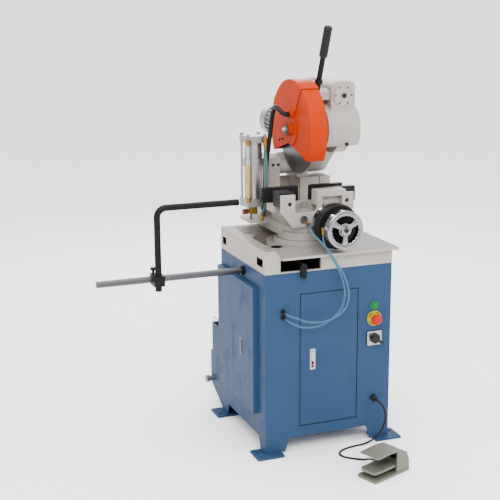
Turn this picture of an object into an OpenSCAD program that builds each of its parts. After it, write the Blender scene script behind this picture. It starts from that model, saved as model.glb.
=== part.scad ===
// Semi-automatic cold saw with a 350 mm blade on a sheet-metal cabinet.
// Origin on the floor under the swivel axis, +X right, +Y to the rear, +Z up, millimetres.

/* [Cabinet] */
// Width of the cabinet
cab_w = 520; // [480:5:560]
// Depth of the cabinet
cab_d = 480; // [450:5:520]
// Height of the cabinet's top edge above the floor
cab_top = 710; // [680:5:740]
// Height of the cabinet's bottom edge above the floor
skirt_z = 60; // [45:1:80]
// Thickness of the cabinet's sheet
sheet = 3; // [2:0.5:4]
// Width of a leg at the foot plate, on the front
leg_w = 82; // [70:1:95]
// Width of a leg at the foot plate, on the side
leg_d = 53; // [45:1:65]
// How much a leg widens towards the cabinet
leg_flare = 15; // [5:1:25]
// Thickness of a foot plate
foot_t = 8; // [6:1:12]
// How far a foot plate stands out beside the cabinet
foot_out_x = 43; // [38:1:60]
// How far a foot plate stands out before the cabinet
foot_out_y = 35; // [20:1:50]
// Diameter of an anchor hole
anchor_d = 14; // [10:1:18]

/* [Doors] */
// Width of the front door's opening
door_w = 238; // [200:2:260]
// Height of the front door's opening
door_h = 521; // [440:1:540]
// Height of the front door's lower edge above the floor
door_z = 103; // [90:1:130]
// Gap around the front door
door_gap = 1.5; // [1:0.25:2.5]
// Depth of the front door's folded rim
door_rim = 18; // [14:1:24]
// Length of the side door
pan_l = 395; // [340:5:400]
// Height of the side door
pan_h = 498; // [420:2:520]
// How far the side door stands proud of the cabinet
pan_t = 20; // [14:1:26]

/* [Tray] */
// Height of the tray's rim above the cabinet
tray_h = 87; // [75:1:100]
// Height of the tray's floor above the cabinet
pan_floor = 65; // [58:1:70]
// Wall thickness of the tray casting
cast_t = 12; // [9:1:16]
// How far the tray's lip stands out before the cabinet
lip_out = 28; // [20:1:40]

/* [Turntable] */
// Radius of the turntable's drum
drum_r = 104; // [98:1:115]
// Height of the turntable
drum_h = 56; // [50:1:60]
// Radius of the fixed pedestal inside the turntable
post_r = 60; // [50:1:66]

/* [Vise] */
// Height of the vise bed's top above the turntable
bed_h = 79; // [74:1:84]
// Height of the jaws above the bed
jaw_h = 57; // [45:1:57]
// Length of one fixed jaw
jaw_l = 148; // [120:1:150]
// Thickness of the jaw bars
jaw_t = 22; // [16:1:26]
// Opening of the vise as shown
vise_gap = 55; // [54:1:70]
// Width of the moving jaw casting
slide_w = 286; // [260:1:300]
// Side of the blade's plane on which the vise screw lies
screw_x = 34; // [30:1:40]
// Radius of the vise screw
screw_r = 10; // [8:0.5:12]
// Radius of the clamping cylinder
clamp_r = 84; // [74:1:86]
// Radius of the handwheel
wheel_r = 72; // [65:1:80]

/* [Head] */
// Diameter of the blade
blade_d = 350; // [315:1:355]
// Thickness of the blade
blade_t = 2.5; // [2:0.1:3]
// Number of teeth on the blade
blade_teeth = 90; // [60:10:120]
// Distance from the swivel axis back to the head's pivot
pivot_y = 240; // [236:1:250]
// Height of the head's pivot above the vise bed
pivot_h = 110; // [105:1:120]
// Radius of the head's pivot shaft
pivot_r = 20; // [16:1:24]
// Distance from the pivot forward to the blade's centre
arm_y = 168; // [160:1:175]
// Height of the blade's centre above the pivot
arm_z = 162; // [155:1:170]
// Outer radius of the blade guard
guard_r = 193; // [190:1:205]
// Width of the blade guard
guard_w = 75; // [70:1:80]
// Thickness of the guard's sheet
guard_t = 2; // [1.5:0.25:2.5]
// Radius of the spindle
spindle_r = 20; // [16:1:22]
// Distance between the worm and the spindle
worm_rise = 130; // [128:1:132]
// Number of teeth on the worm wheel
wheel_teeth = 36; // [36:1:36]
// Length of the handle's grip
grip_l = 120; // [90:5:140]

/* [Air-oil tank] */
// Radius of the tank's tube
tank_r = 34; // [28:1:36]
// Height of the tank between its caps
tank_h = 220; // [180:5:240]

/* [Bar stop] */
// Radius of the stop rod
rod_r = 12.5; // [10:0.5:14]
// Length of the stop rod outside the cabinet
rod_l = 576; // [450:2:600]
// Radius of the stop arm
arm_r = 12; // [9:0.5:13]

/* [Coolant unit] */
// Depth of the coolant tank behind the cabinet
sump_d = 165; // [140:5:180]
// Height of the seam between coolant tank and chip box
sump_top = 225; // [200:5:250]
// Height of the chip box
box_h = 130; // [110:5:160]

/* [Foot switch] */
// Length of the foot switch
pedal_l = 190; // [170:5:210]
// Width of the foot switch
pedal_w = 92; // [80:2:100]
// Height of the foot switch's hood
hood_h = 98; // [92:1:120]

/* [Hidden] */
$fn = 64;
fit = 0.05;
clear = 0.3;
side_x = cab_w / 2;
front_y = -cab_d / 2;
rear_y = cab_d / 2;
tray_z = cab_top + pan_floor;
rim_z = cab_top + tray_h;
plateau_h = 15;
drum_z = tray_z + plateau_h;
drum_top = drum_z + drum_h;
bed_z = drum_top + bed_h;
jaw_top = bed_z + jaw_h;
jaw_y = 20;
front_jaw_y = jaw_y - vise_gap;
apron_y = front_jaw_y - 77;
apron_t = 13;
screw_z = drum_top + 20;
pivot_z = bed_z + pivot_h;
blade_y = pivot_y - arm_y;
blade_z = pivot_z + arm_z;
blade_r = blade_d / 2;
guard_x = -30;
guard_in = guard_x + guard_t;
guard_x1 = guard_x + guard_w;
wheel_x = 161;
worm_z = blade_z + worm_rise;
motor_x = 80;
motor_z = blade_z - 11;
tank_x = -165;
tank_y = 120;
tank_z = 930;
tank_top = tank_z + tank_h;
cheek_x = -108;
cheek_l = [cheek_x, -36];
cheek_r = [52, 98];
column_x = [cheek_x, 185];
column_y = [160, 305];
stop_y = -21;
stop_z = cab_top - 31;
clamp_x = -608;
selector_rest = -36;
stop_top = 951;
sump_x = [-255, 145];
pedal_at = [89, -532, 0];
pedal_turn = 21;
gland_u = 20;
gland_up = 22;
start_at = [188, 549];
estop_at = [189, 497];
selector_at = [191, 418];
control_r = 11;
gland_at = [192, 174];
gland_r = 8;
bulkhead_at = [-189, 564];
bulkhead_r = 6;
cord_r = 4;
air_r = 3.5;
coolant_r = 9;
feed_r = 6;

BLUE = "#4f7098";
CAST = "#b9b5aa";
ORANGE = "#e85a23";
BLACK = "#1c1c1e";
STEEL = "#b8babd";
CHROME = "#d7d9dc";
BRASS = "#b8912f";
OLIVE = "#77776b";
RED = "#b3202a";
GREEN = "#2c8f4a";
YELLOW = "#e8b520";
TEAL = "#2f7f7c";
CLEAR_BLUE = "#9cc9d8";

// Points of the free cords and hoses, chosen by hand along their routes
foot_cord_route = concat([
  [192, -246, 174], [192, -264, 174], [192, -272, 174], [197, -286, 169], [205, -296, 157],
  [212, -302, 138], [216, -303, 112], [212, -300, 82], [202, -295, 54], [184, -288, 28],
  [158, -282, 11], [128, -282, 4], [96, -285, 4], [64, -291, 4], [36, -301, 4], [15, -317, 4],
  [6, -340, 4], [14, -364, 4], [34, -384, 4], [54, -402, 5], [68, -420, 9], [75, -438, 17]],
  [pedal_point(74), pedal_point(64), pedal_point(52)]);
jaw_hose_route = [
  [-38, -120, 861], [-38, -137, 861], [-38, -145, 861], [-46, -160, 860], [-57, -180, 858],
  [-62, -210, 850], [-61, -236, 840], [-52, -260, 826], [-37, -277, 806], [-16, -288, 775],
  [8, -294, 738], [28, -298, 702], [44, -300, 660], [50, -300, 622], [46, -298, 586],
  [28, -295, 556], [-2, -292, 536], [-40, -290, 525], [-82, -289, 525], [-122, -289, 534],
  [-156, -290, 549], [-178, -288, 559], [-188, -279, 563], [-189, -270, 564], [-189, -264, 564],
  [-189, -250, 564]];
piston_hose_route = [
  [-34, -252, 858], [-34, -252, 845], [-34, -252, 836], [-33, -256, 818], [-26, -266, 794],
  [-10, -280, 762], [10, -290, 724], [26, -292, 684], [36, -292, 644], [38, -291, 610],
  [30, -289, 576], [10, -288, 548], [-20, -287, 526], [-56, -286, 511], [-96, -285, 506],
  [-136, -285, 512], [-164, -286, 526], [-182, -284, 537], [-188, -277, 541], [-189, -270, 542],
  [-189, -264, 542], [-189, -250, 542]];
coolant_route = [
  [-44, 52, 1258], [-56, 52, 1258], [-70, 55, 1264], [-79, 66, 1276], [-82, 84, 1284],
  [-82, 104, 1280], [-81, 122, 1262], [-81, 135, 1234], [-82, 143, 1200], [-85, 147, 1160],
  [-90, 148, 1120], [-96, 148, 1080], [-101, 148, 1030], [-104, 148, 980], [-105, 148, 935],
  [-109, 147, 904], [-114, 146, 880], [-114, 146, 870], [-114, 146, 862]];
feed_route = [
  [-136, 66, 1140], [-136, 66, 1120], [-133, 63, 1080], [-132, 62, 1020], [-133, 62, 965],
  [-135, 63, 925], [-139, 68, 895], [-144, 78, 874], [-145, 82, 862], [-145, 82, 854]];
valve_route = [
  [-176, 120, 866], [-176, 120, 858], [-176, 120, 851]];

// A point on the foot switch's gland axis, at a distance from its middle line
function pedal_point(v) =
  pedal_at + [gland_u * cos(pedal_turn) - v * sin(pedal_turn), gland_u * sin(pedal_turn) + v * cos(pedal_turn), gland_up];

// A box between two corners, given axis by axis
module block(x, y, z) {
  translate([x[0], y[0], z[0]])
    cube([x[1] - x[0], y[1] - y[0], z[1] - z[0]]);
}

// Round bars along each axis
module rod_x(x, y, z, r) {
  translate([x[0], y, z])
    rotate([0, 90, 0])
      cylinder(r = r, h = x[1] - x[0]);
}

module rod_y(x, y, z, r) {
  translate([x, y[0], z])
    rotate([-90, 0, 0])
      cylinder(r = r, h = y[1] - y[0]);
}

module rod_z(x, y, z, r) {
  translate([x, y, z[0]])
    cylinder(r = r, h = z[1] - z[0]);
}

// A span of given half width about a centre
function span(c, half) = [c - half, c + half];

// A drawn outline made solid along one axis: (Y, Z) along X, (X, Z) along Y, (X, Y) along Z
module solid_x(x) {
  translate([x[0], 0, 0])
    rotate([90, 0, 90])
      linear_extrude(x[1] - x[0])
        children();
}

module solid_y(y) {
  translate([0, y[1], 0])
    rotate([90, 0, 0])
      linear_extrude(y[1] - y[0])
        children();
}

module solid_z(z) {
  translate([0, 0, z[0]])
    linear_extrude(z[1] - z[0])
      children();
}

// A rectangle with round corners
module rounded(x, y, r) {
  translate([x[0] + r, y[0]])
    square([x[1] - x[0] - 2 * r, y[1] - y[0]]);
  translate([x[0], y[0] + r])
    square([x[1] - x[0], y[1] - y[0] - 2 * r]);
  for (px = [x[0] + r, x[1] - r], py = [y[0] + r, y[1] - r])
    translate([px, py])
      circle(r);
}

// Two circles and the straight flanks that touch both
module link_outline(a, ra, b, rb) {
  d = norm(b - a);
  turn = atan2(b[1] - a[1], b[0] - a[0]);
  lean = acos((ra - rb) / d);
  translate(a)
    circle(ra);
  translate(b)
    circle(rb);
  polygon([for (s = [turn + lean, turn - lean]) a + ra * [cos(s), sin(s)],
    for (s = [turn - lean, turn + lean]) b + rb * [cos(s), sin(s)]]);
}

// A pie slice between two directions, wider than any disc it cuts
module sector(from, to, r) {
  polygon([[0, 0], for (i = [0:6]) let (s = from + (to - from) * i / 6) r * [cos(s), sin(s)]]);
}

// A tube swept along a smoothed route, its ends square to the first and last stretch
function unit(v) = v / norm(v);
function side_of(t) = unit(abs(t[2]) > 0.95 ? cross(t, [0, 1, 0]) : cross(t, [0, 0, 1]));
function carry(s, t) = unit(s - (s * t) * t);
function sides_along(t, i, s) = i == len(t) ? [] : let (n = carry(s, t[i])) concat([n], sides_along(t, i + 1, n));
function smooth_at(p, i, u) =
  let (a = p[max(i - 1, 0)], b = p[i], c = p[i + 1], d = p[min(i + 2, len(p) - 1)])
  0.5 * (2 * b + (c - a) * u + (2 * a - 5 * b + 4 * c - d) * u * u + (3 * b - a - 3 * c + d) * u * u * u);
function smooth_route(p, steps) =
  concat([for (i = [0:len(p) - 2], k = [0:steps - 1]) smooth_at(p, i, k / steps)], [p[len(p) - 1]]);

module tube(route, steps, r, sides) {
  p = smooth_route(route, steps);
  n = len(p);
  m = len(route);
  heading = [unit(route[1] - route[0]), for (i = [1:n - 2]) unit(p[i + 1] - p[i - 1]),
    unit(route[m - 1] - route[m - 2])];
  across = sides_along(heading, 0, side_of(heading[0]));
  rings = [for (i = [0:n - 1]) let (a = across[i], b = cross(heading[i], a))
    for (k = [0:sides - 1]) let (w = 360 * k / sides) p[i] + r * (cos(w) * a + sin(w) * b)];
  walls = [for (i = [0:n - 2], k = [0:sides - 1]) let (j = (k + 1) % sides)
    each [[i * sides + k, (i + 1) * sides + k, (i + 1) * sides + j],
      [i * sides + k, (i + 1) * sides + j, i * sides + j]]];
  end = (n - 1) * sides;
  first = [for (k = [1:sides - 2]) [0, k, k + 1]];
  last = [for (k = [1:sides - 2]) [end, end + k + 1, end + k]];
  polyhedron(rings, concat(walls, first, last));
}

// Cabinet: a folded shell, open at the top where the tray sits
door_x = door_w / 2;
door_top = door_z + door_h;
pan_y1 = rear_y - 10;
pan_y0 = pan_y1 - pan_l;
pan_z0 = 147;
pan_z1 = pan_z0 + pan_h;
pan_lap = 16;

module cabinet() {
  color(BLUE)
    difference() {
      block([-side_x, side_x], [front_y, rear_y], [skirt_z, cab_top]);
      block([-side_x + sheet, side_x - sheet], [front_y + sheet, rear_y - sheet],
        [skirt_z + sheet, cab_top + 1]);
      block([-door_x, door_x], [front_y - 1, front_y + sheet + 1], [door_z, door_top]);
      block([-side_x - 1, -side_x + sheet + 1], [pan_y0 + pan_lap, pan_y1 - pan_lap],
        [pan_z0 + pan_lap, pan_z1 - pan_lap]);
      for (c = [start_at, estop_at, selector_at])
        rod_y(c[0], [front_y - 1, front_y + sheet + 1], c[1], control_r);
      rod_y(gland_at[0], [front_y - 1, front_y + sheet + 1], gland_at[1], gland_r);
      for (drop = [0, bulkhead_pitch])
        rod_y(bulkhead_at[0], [front_y - 1, front_y + sheet + 1], bulkhead_at[1] - drop, bulkhead_r);
      rod_x([-side_x - 1, -side_x + sheet + 1], stop_y, stop_z, rod_r);
    }
}

bulkhead_pitch = 22;

// Four folded corner legs that widen towards the cabinet
module corners() {
  for (mx = [0, 1], my = [0, 1])
    mirror([mx, 0, 0])
      mirror([0, my, 0])
        children();
}

module cabinet_legs() {
  color(BLUE)
    corners()
      union() {
        solid_y([front_y, front_y + sheet])
          polygon([[-side_x, foot_t], [-side_x + leg_w, foot_t],
            [-side_x + leg_w + leg_flare, skirt_z], [-side_x, skirt_z]]);
        solid_x([-side_x, -side_x + sheet])
          polygon([[front_y, foot_t], [front_y + leg_d, foot_t],
            [front_y + leg_d + leg_flare, skirt_z], [front_y, skirt_z]]);
      }
}

// Foot plates welded under the legs, each with an anchor hole in its outer flange
foot_in_x = 66;
foot_in_y = 58;
anchor_x = side_x + foot_out_x / 2;
anchor_y = rear_y - 30;

module foot_plates() {
  color(BLUE)
    corners()
      difference() {
        solid_z([0, foot_t])
          rounded([side_x - foot_in_x, side_x + foot_out_x],
            [rear_y - foot_in_y, rear_y + foot_out_y], 3);
        rod_z(anchor_x, anchor_y, [-1, foot_t + 1], anchor_d / 2);
      }
}

// Front door: a pan with a folded rim that turns on two pins near its right edge
leaf = 2;
pin_r = 3;
pin_x = door_x - door_gap - 12;
pin_y = front_y + 6;
latch_x = -68;
latch_z = 365;
latch_w = 22;
latch_h = 82;
slot_w = 14;

module front_door() {
  x = [-door_x + door_gap, door_x - door_gap];
  z = [door_z + door_gap, door_top - door_gap];
  color(BLUE)
    difference() {
      block(x, [front_y, front_y + door_rim], z);
      block([x[0] + leaf, x[1] - leaf], [front_y + leaf, front_y + door_rim + 1],
        [z[0] + leaf, z[1] - leaf]);
      rod_z(pin_x, pin_y, [z[0] - 1, z[1] + 1], pin_r + fit);
      block(span(latch_x, slot_w / 2), [front_y - 1, front_y + leaf + 1],
        span(latch_z, latch_h / 2 - 6));
    }
}

// Pins on brackets behind the front panel, above and below the door
module door_pins() {
  bracket = [pin_x - 8, pin_x + 12];
  color(STEEL)
    for (side = [[door_top, 1], [door_z, -1]]) {
      z = side[0];
      up = side[1];
      union() {
        block(bracket, [front_y + sheet, front_y + sheet + 14],
          up > 0 ? [z + 2, z + 8] : [z - 8, z - 2]);
        rod_z(pin_x, pin_y, up > 0 ? [z - 14, z + 2] : [z - 2, z + 14], pin_r);
      }
    }
}

// Flush latch: a plate in the door's skin, a hinged handle and a button that frees it
module front_latch_plate() {
  color(CHROME)
    difference() {
      union() {
        solid_y([front_y - 1.5, front_y])
          rounded(span(latch_x, latch_w / 2), span(latch_z, latch_h / 2), 3);
        block(span(latch_x, slot_w / 2), [front_y, front_y + 14],
          span(latch_z, latch_h / 2 - 6));
      }
      block(span(latch_x, slot_w / 2 - 2), [front_y - 2, front_y + 12],
        span(latch_z, latch_h / 2 - 8));
    }
}

handle_pin_z = latch_z + latch_h / 2 - 13;

module front_latch_handle() {
  x = span(latch_x, slot_w / 2 - 2.3);
  color(STEEL)
    union() {
      block(x, [front_y - 3, front_y + 4], [latch_z - 8, handle_pin_z]);
      rod_x(x, front_y + 0.5, handle_pin_z, 3.5);
    }
}

module latch_button() {
  color(RED)
    rod_y(latch_x, [front_y - 3, front_y + 7], latch_z - 22, 4.7);
}

// Side door: a proud pan on two butt hinges at its rear edge
hinge_x = -side_x - 5;
hinge_y = pan_y1 + 5;
hinge_r = 4.5;
hinge_l = 22;
hinge_zs = [pan_z0 + 70, pan_z1 - 70];

module side_door() {
  color(BLUE)
    union() {
      difference() {
        block([-side_x - pan_t, -side_x - clear], [pan_y0, pan_y1], [pan_z0, pan_z1]);
        block([-side_x - pan_t + leaf, -side_x + 1], [pan_y0 + leaf, pan_y1 - leaf],
          [pan_z0 + leaf, pan_z1 - leaf]);
        side_latch_slot();
      }
      for (z = hinge_zs)
        difference() {
          union() {
            rod_z(hinge_x, hinge_y, [z + clear, z + hinge_l], hinge_r);
            block([hinge_x - hinge_r, hinge_x], [pan_y1 - leaf, hinge_y],
              [z + clear, z + hinge_l]);
          }
          rod_z(hinge_x, hinge_y, [z - 1, z + hinge_l + 1], pin_r - 1 + fit);
        }
    }
}

module side_hinges() {
  color(STEEL)
    for (z = hinge_zs)
      union() {
        rod_z(hinge_x, hinge_y, [z - hinge_l, z], hinge_r);
        block([hinge_x, -side_x], [hinge_y - hinge_r, hinge_y + hinge_r], [z - hinge_l, z]);
        rod_z(hinge_x, hinge_y, [z - hinge_l, z + hinge_l], pin_r - 1);
      }
}

side_latch_y = -37;
side_latch_z = 381;
side_latch_h = 70;

module side_latch_slot() {
  block([-side_x - pan_t - 1, -side_x - pan_t + leaf + 1], span(side_latch_y, 6),
    span(side_latch_z, side_latch_h / 2 - 4));
}

module side_latch() {
  x = -side_x - pan_t;
  color(CHROME)
    union() {
      solid_x([x - 1.5, x])
        rounded(span(side_latch_y, 10), span(side_latch_z, side_latch_h / 2), 3);
      block([x, x + 12], span(side_latch_y, 6), span(side_latch_z, side_latch_h / 2 - 4));
      block([x - 4, x - 1.5], span(side_latch_y, 4), [side_latch_z - 16, side_latch_z + 26]);
      rod_x([x - 4, x - 1.5], side_latch_y, side_latch_z - 24, 4);
    }
}

// Push buttons and switch on the front, each in its own ring
module control_rings() {
  color(STEEL)
    difference() {
      union() {
        rod_y(start_at[0], [front_y - 4, front_y], start_at[1], 17);
        rod_y(start_at[0], [front_y, front_y + 30], start_at[1], control_r);
      }
      rod_y(start_at[0], [front_y - 5, front_y + 24], start_at[1], 9);
    }
  color(STEEL)
    difference() {
      union() {
        solid_y([front_y - 4, front_y])
          rounded(span(selector_at[0], 31), span(selector_at[1], 28), 4);
        rod_y(selector_at[0], [front_y, front_y + 30], selector_at[1], control_r);
      }
      rod_y(selector_at[0], [front_y - 5, front_y + 24], selector_at[1], 8);
    }
}

module start_button() {
  color(GREEN)
    rotate_about_y(start_at, front_y)
      rotate_extrude()
        polygon([[0, -20], [9 - fit * 2, -20], [9 - fit * 2, 6], [7.5, 8], [0, 8]]);
}

// Places a turned piece on the front with its axis pointing out of the panel
module rotate_about_y(c, y) {
  translate([c[0], y, c[1]])
    rotate([90, 0, 0])
      children();
}

module estop_plate() {
  color(YELLOW)
    difference() {
      union() {
        rod_y(estop_at[0], [front_y - 3, front_y], estop_at[1], 30);
        rod_y(estop_at[0], [front_y - 10, front_y - 3], estop_at[1], 15);
        rod_y(estop_at[0], [front_y, front_y + 30], estop_at[1], control_r);
      }
      rod_y(estop_at[0], [front_y - 11, front_y + 24], estop_at[1], 8);
    }
}

module estop_button() {
  color(RED)
    rotate_about_y(estop_at, front_y)
      rotate_extrude()
        polygon([[0, -18], [8 - fit * 2, -18], [8 - fit * 2, 17], [19, 17], [20, 21], [20, 27],
          [18, 31], [13, 34], [0, 35]]);
}

module selector_knob() {
  color(BLACK)
    rotate_about_y(selector_at, front_y)
      union() {
        translate([0, 0, -20])
          cylinder(r = 8 - fit * 2, h = 24);
        translate([0, 0, 4 + clear])
          cylinder(r = 20, h = 8);
        translate([0, 0, 12])
          rotate(selector_rest)
            linear_extrude(14)
              rounded([-18, 34], [-6, 6], 5);
      }
}

// Cord gland and the two air fittings on the front panel
module cord_gland() {
  c = gland_at;
  color(BLACK)
    difference() {
      union() {
        rod_y(c[0], [front_y, front_y + 14], c[1], gland_r);
        rotate_about_y(c, front_y)
          cylinder(r = 14, h = 8, $fn = 6);
        rotate_about_y(c, front_y)
          rotate_extrude()
            polygon([[0, 8], [12, 8], [12, 14], [7, 24], [0, 24]]);
      }
      rod_y(c[0], [front_y - 25, front_y + 15], c[1], cord_r + fit);
    }
}

module air_bulkhead() {
  color(BLACK)
    for (drop = [0, bulkhead_pitch])
      difference() {
        union() {
          rod_y(bulkhead_at[0], [front_y, front_y + 14], bulkhead_at[1] - drop, bulkhead_r);
          rotate_about_y(bulkhead_at - [0, drop], front_y)
            cylinder(r = 10, h = 7, $fn = 6);
          rod_y(bulkhead_at[0], [front_y - 24, front_y - 7], bulkhead_at[1] - drop, 7.5);
        }
        rod_y(bulkhead_at[0], [front_y - 25, front_y + 15], bulkhead_at[1] - drop, air_r + fit);
      }
}

// Tray: a hollow casting with a raised rim, an overhanging lip and a chip well round the plateau
lip_t = 10;
lip_right = 14;
rim_l = 60;
rim_b = 48;
rim_slope = 18;
well_in = 148;
well_out = 202;
well_z = cab_top + 24;
plateau_r = 118;
hand_hole = [-152, -86, 23];
lock_open = [-199, -36];
lock_open_z = [cab_top + 5, cab_top + 50];

module well_outline(grow) {
  intersection() {
    difference() {
      circle(well_out + grow);
      circle(well_in - grow);
    }
    sector(100 - grow / 2, 196 + grow / 2, 2 * well_out);
  }
}

module tray() {
  color(CAST)
    difference() {
      union() {
        difference() {
          block([-side_x, side_x], [front_y, rear_y], [cab_top, rim_z]);
          block([-side_x + cast_t, side_x - cast_t], [front_y + cast_t, rear_y - cast_t],
            [cab_top - 1, tray_z - lip_t]);
        }
        block([-side_x + rim_l, side_x + lip_right], [front_y - lip_out, rear_y],
          [tray_z - lip_t, tray_z]);
        solid_z([well_z - 6, tray_z])
          well_outline(6);
        rod_z(0, 0, [tray_z - lip_t, drum_z - clear], plateau_r);
      }
      intersection() {
        solid_y([front_y - lip_out - 1, rear_y])
          polygon([[-side_x + rim_l, tray_z], [side_x + 1, tray_z], [side_x + 1, rim_z + 1],
            [-side_x + rim_l - rim_slope, rim_z + 1]]);
        solid_x([-side_x, side_x + 1])
          polygon([[front_y - lip_out - 1, tray_z], [rear_y - rim_b, tray_z],
            [rear_y - rim_b + rim_slope, rim_z + 1], [front_y - lip_out - 1, rim_z + 1]]);
        difference() {
          block([-side_x, side_x + 1], [front_y - lip_out - 1, rear_y], [tray_z, rim_z + 1]);
          rod_z(0, 0, [tray_z - 1, drum_z - clear], plateau_r);
        }
      }
      solid_z([well_z, rim_z + 1])
        well_outline(0);
      rod_z(hand_hole[0], hand_hole[1], [cab_top, rim_z], hand_hole[2]);
      block(lock_open, [front_y - 1, front_y + cast_t + 1], lock_open_z);
      for (y = [[-217, -157], [178, 218]])
        block([-side_x - 1, -side_x + cast_t + 1], y, [cab_top + 23, cab_top + 53]);
      rod_z(0, 0, [cab_top, rim_z], post_r);
    }
}

// Fixed post that carries the vise through the middle of the turntable
post_flange = 74;

module pedestal() {
  color(CAST)
    union() {
      rod_z(0, 0, [tray_z - lip_t, drum_top + clear], post_r - fit);
      rod_z(0, 0, [tray_z - lip_t - 12, tray_z - lip_t], post_flange);
    }
}

// Swivel lock: a bent lever on a vertical screw under the tray
lock_at = [-118, -150];
lock_z = cab_top + 30;

module lock_lever() {
  x = lock_at[0];
  color(BLACK)
    union() {
      rod_z(x, lock_at[1], [lock_z - 10, tray_z - lip_t - clear], 13);
      block(span(x, 9), [front_y - 24, lock_at[1]], [lock_z - 5, lock_z + 5]);
      rod_y(x, [front_y - 32, front_y - 14], lock_z - 5, 13);
      solid_y([front_y - 28, front_y - 18])
        rounded(span(x, 12), [cab_top - 20, lock_z], 10);
    }
}

// Turntable: drum round the post with an arm that carries the column
lug_x = [-192, -104];
lug_y = [84, 200];
lug_z = [drum_top - 12, drum_top];

module turntable() {
  color(CAST)
    difference() {
      union() {
        rod_z(0, 0, [drum_z, drum_top], drum_r);
        solid_z([rim_z + 3, drum_top])
          polygon([[-drum_r, 0], [column_x[0], column_y[0]], [column_x[0], column_y[1]],
            [column_x[1], column_y[1]], [column_x[1], column_y[0]], [drum_r, 0]]);
        block(lug_x, lug_y, lug_z);
      }
      rod_z(0, 0, [drum_z - 1, drum_top + 1], post_r + fit);
    }
}

// Column: a yoke with a block-shaped left cheek, and a right cheek that stands on a wider block
foot_h = 24;
cheek_top = pivot_z + 41;
boss_r = 38;
web_h = 134;
web_t = 26;
block_top = pivot_z - boss_r - 9;
groove_x = [135, 139];
groove_d = 6;

module column() {
  color(CAST)
    difference() {
      union() {
        block(column_x, column_y, [drum_top, drum_top + foot_h]);
        block([cheek_r[0], column_x[1]], column_y, [drum_top, block_top]);
        block(cheek_l, column_y, [drum_top, cheek_top]);
        solid_x(cheek_r) {
          polygon([[column_y[0], drum_top], [column_y[1], drum_top],
            [pivot_y + boss_r, pivot_z], [pivot_y - boss_r, pivot_z]]);
          translate([pivot_y, pivot_z])
            circle(boss_r);
        }
        block([cheek_x, cheek_r[1]], [column_y[1] - web_t, column_y[1]], [drum_top, drum_top + web_h]);
      }
      block(groove_x, [column_y[0] - 1, column_y[0] + groove_d], [drum_top + foot_h, block_top + 1]);
      rod_x([cheek_x - 1, cheek_r[1] + 1], pivot_y, pivot_z, pivot_r);
      block([cheek_l[1], cheek_r[0]], [column_y[0] - 1, column_y[0] + 60],
        [drum_top + 8, drum_top + foot_h + 1]);
    }
}

hub_out = [cheek_r[1] + 0.5, column_x[1]];

module pivot_shaft() {
  color(STEEL)
    union() {
      rod_x([cheek_x - 4, hub_out[1] + 4], pivot_y, pivot_z, pivot_r);
      rod_x([cheek_x - 10, cheek_x], pivot_y, pivot_z, 30);
      rod_x([hub_out[1] + 0.5, hub_out[1] + 10], pivot_y, pivot_z, 30);
    }
}

// Gear housing: wheel case round the spindle, worm tunnel above it and the arm down to the pivot
case_r = 100;
case_low = 66;
case_x = [90, 218];
case_wall = 6;
sump_half = 24;
sump_r = 99;
worm_block = [51, 54];
worm_block_y = 144;
worm_block_r = 26;
tunnel_r = 40;
tunnel_y = [0, 262];
cavity_r = 94;
worm_cavity = 46;
nose_r = 44;
bearing_r = 34;
end_wall = 24;
worm_bearing = 28;
worm_journal = 15;

// The wheel case from the side: round, with a flat below
module case_outline(r, low) {
  intersection() {
    circle(r);
    translate([-r, -low])
      square([2 * r, low + r]);
  }
}

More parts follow.
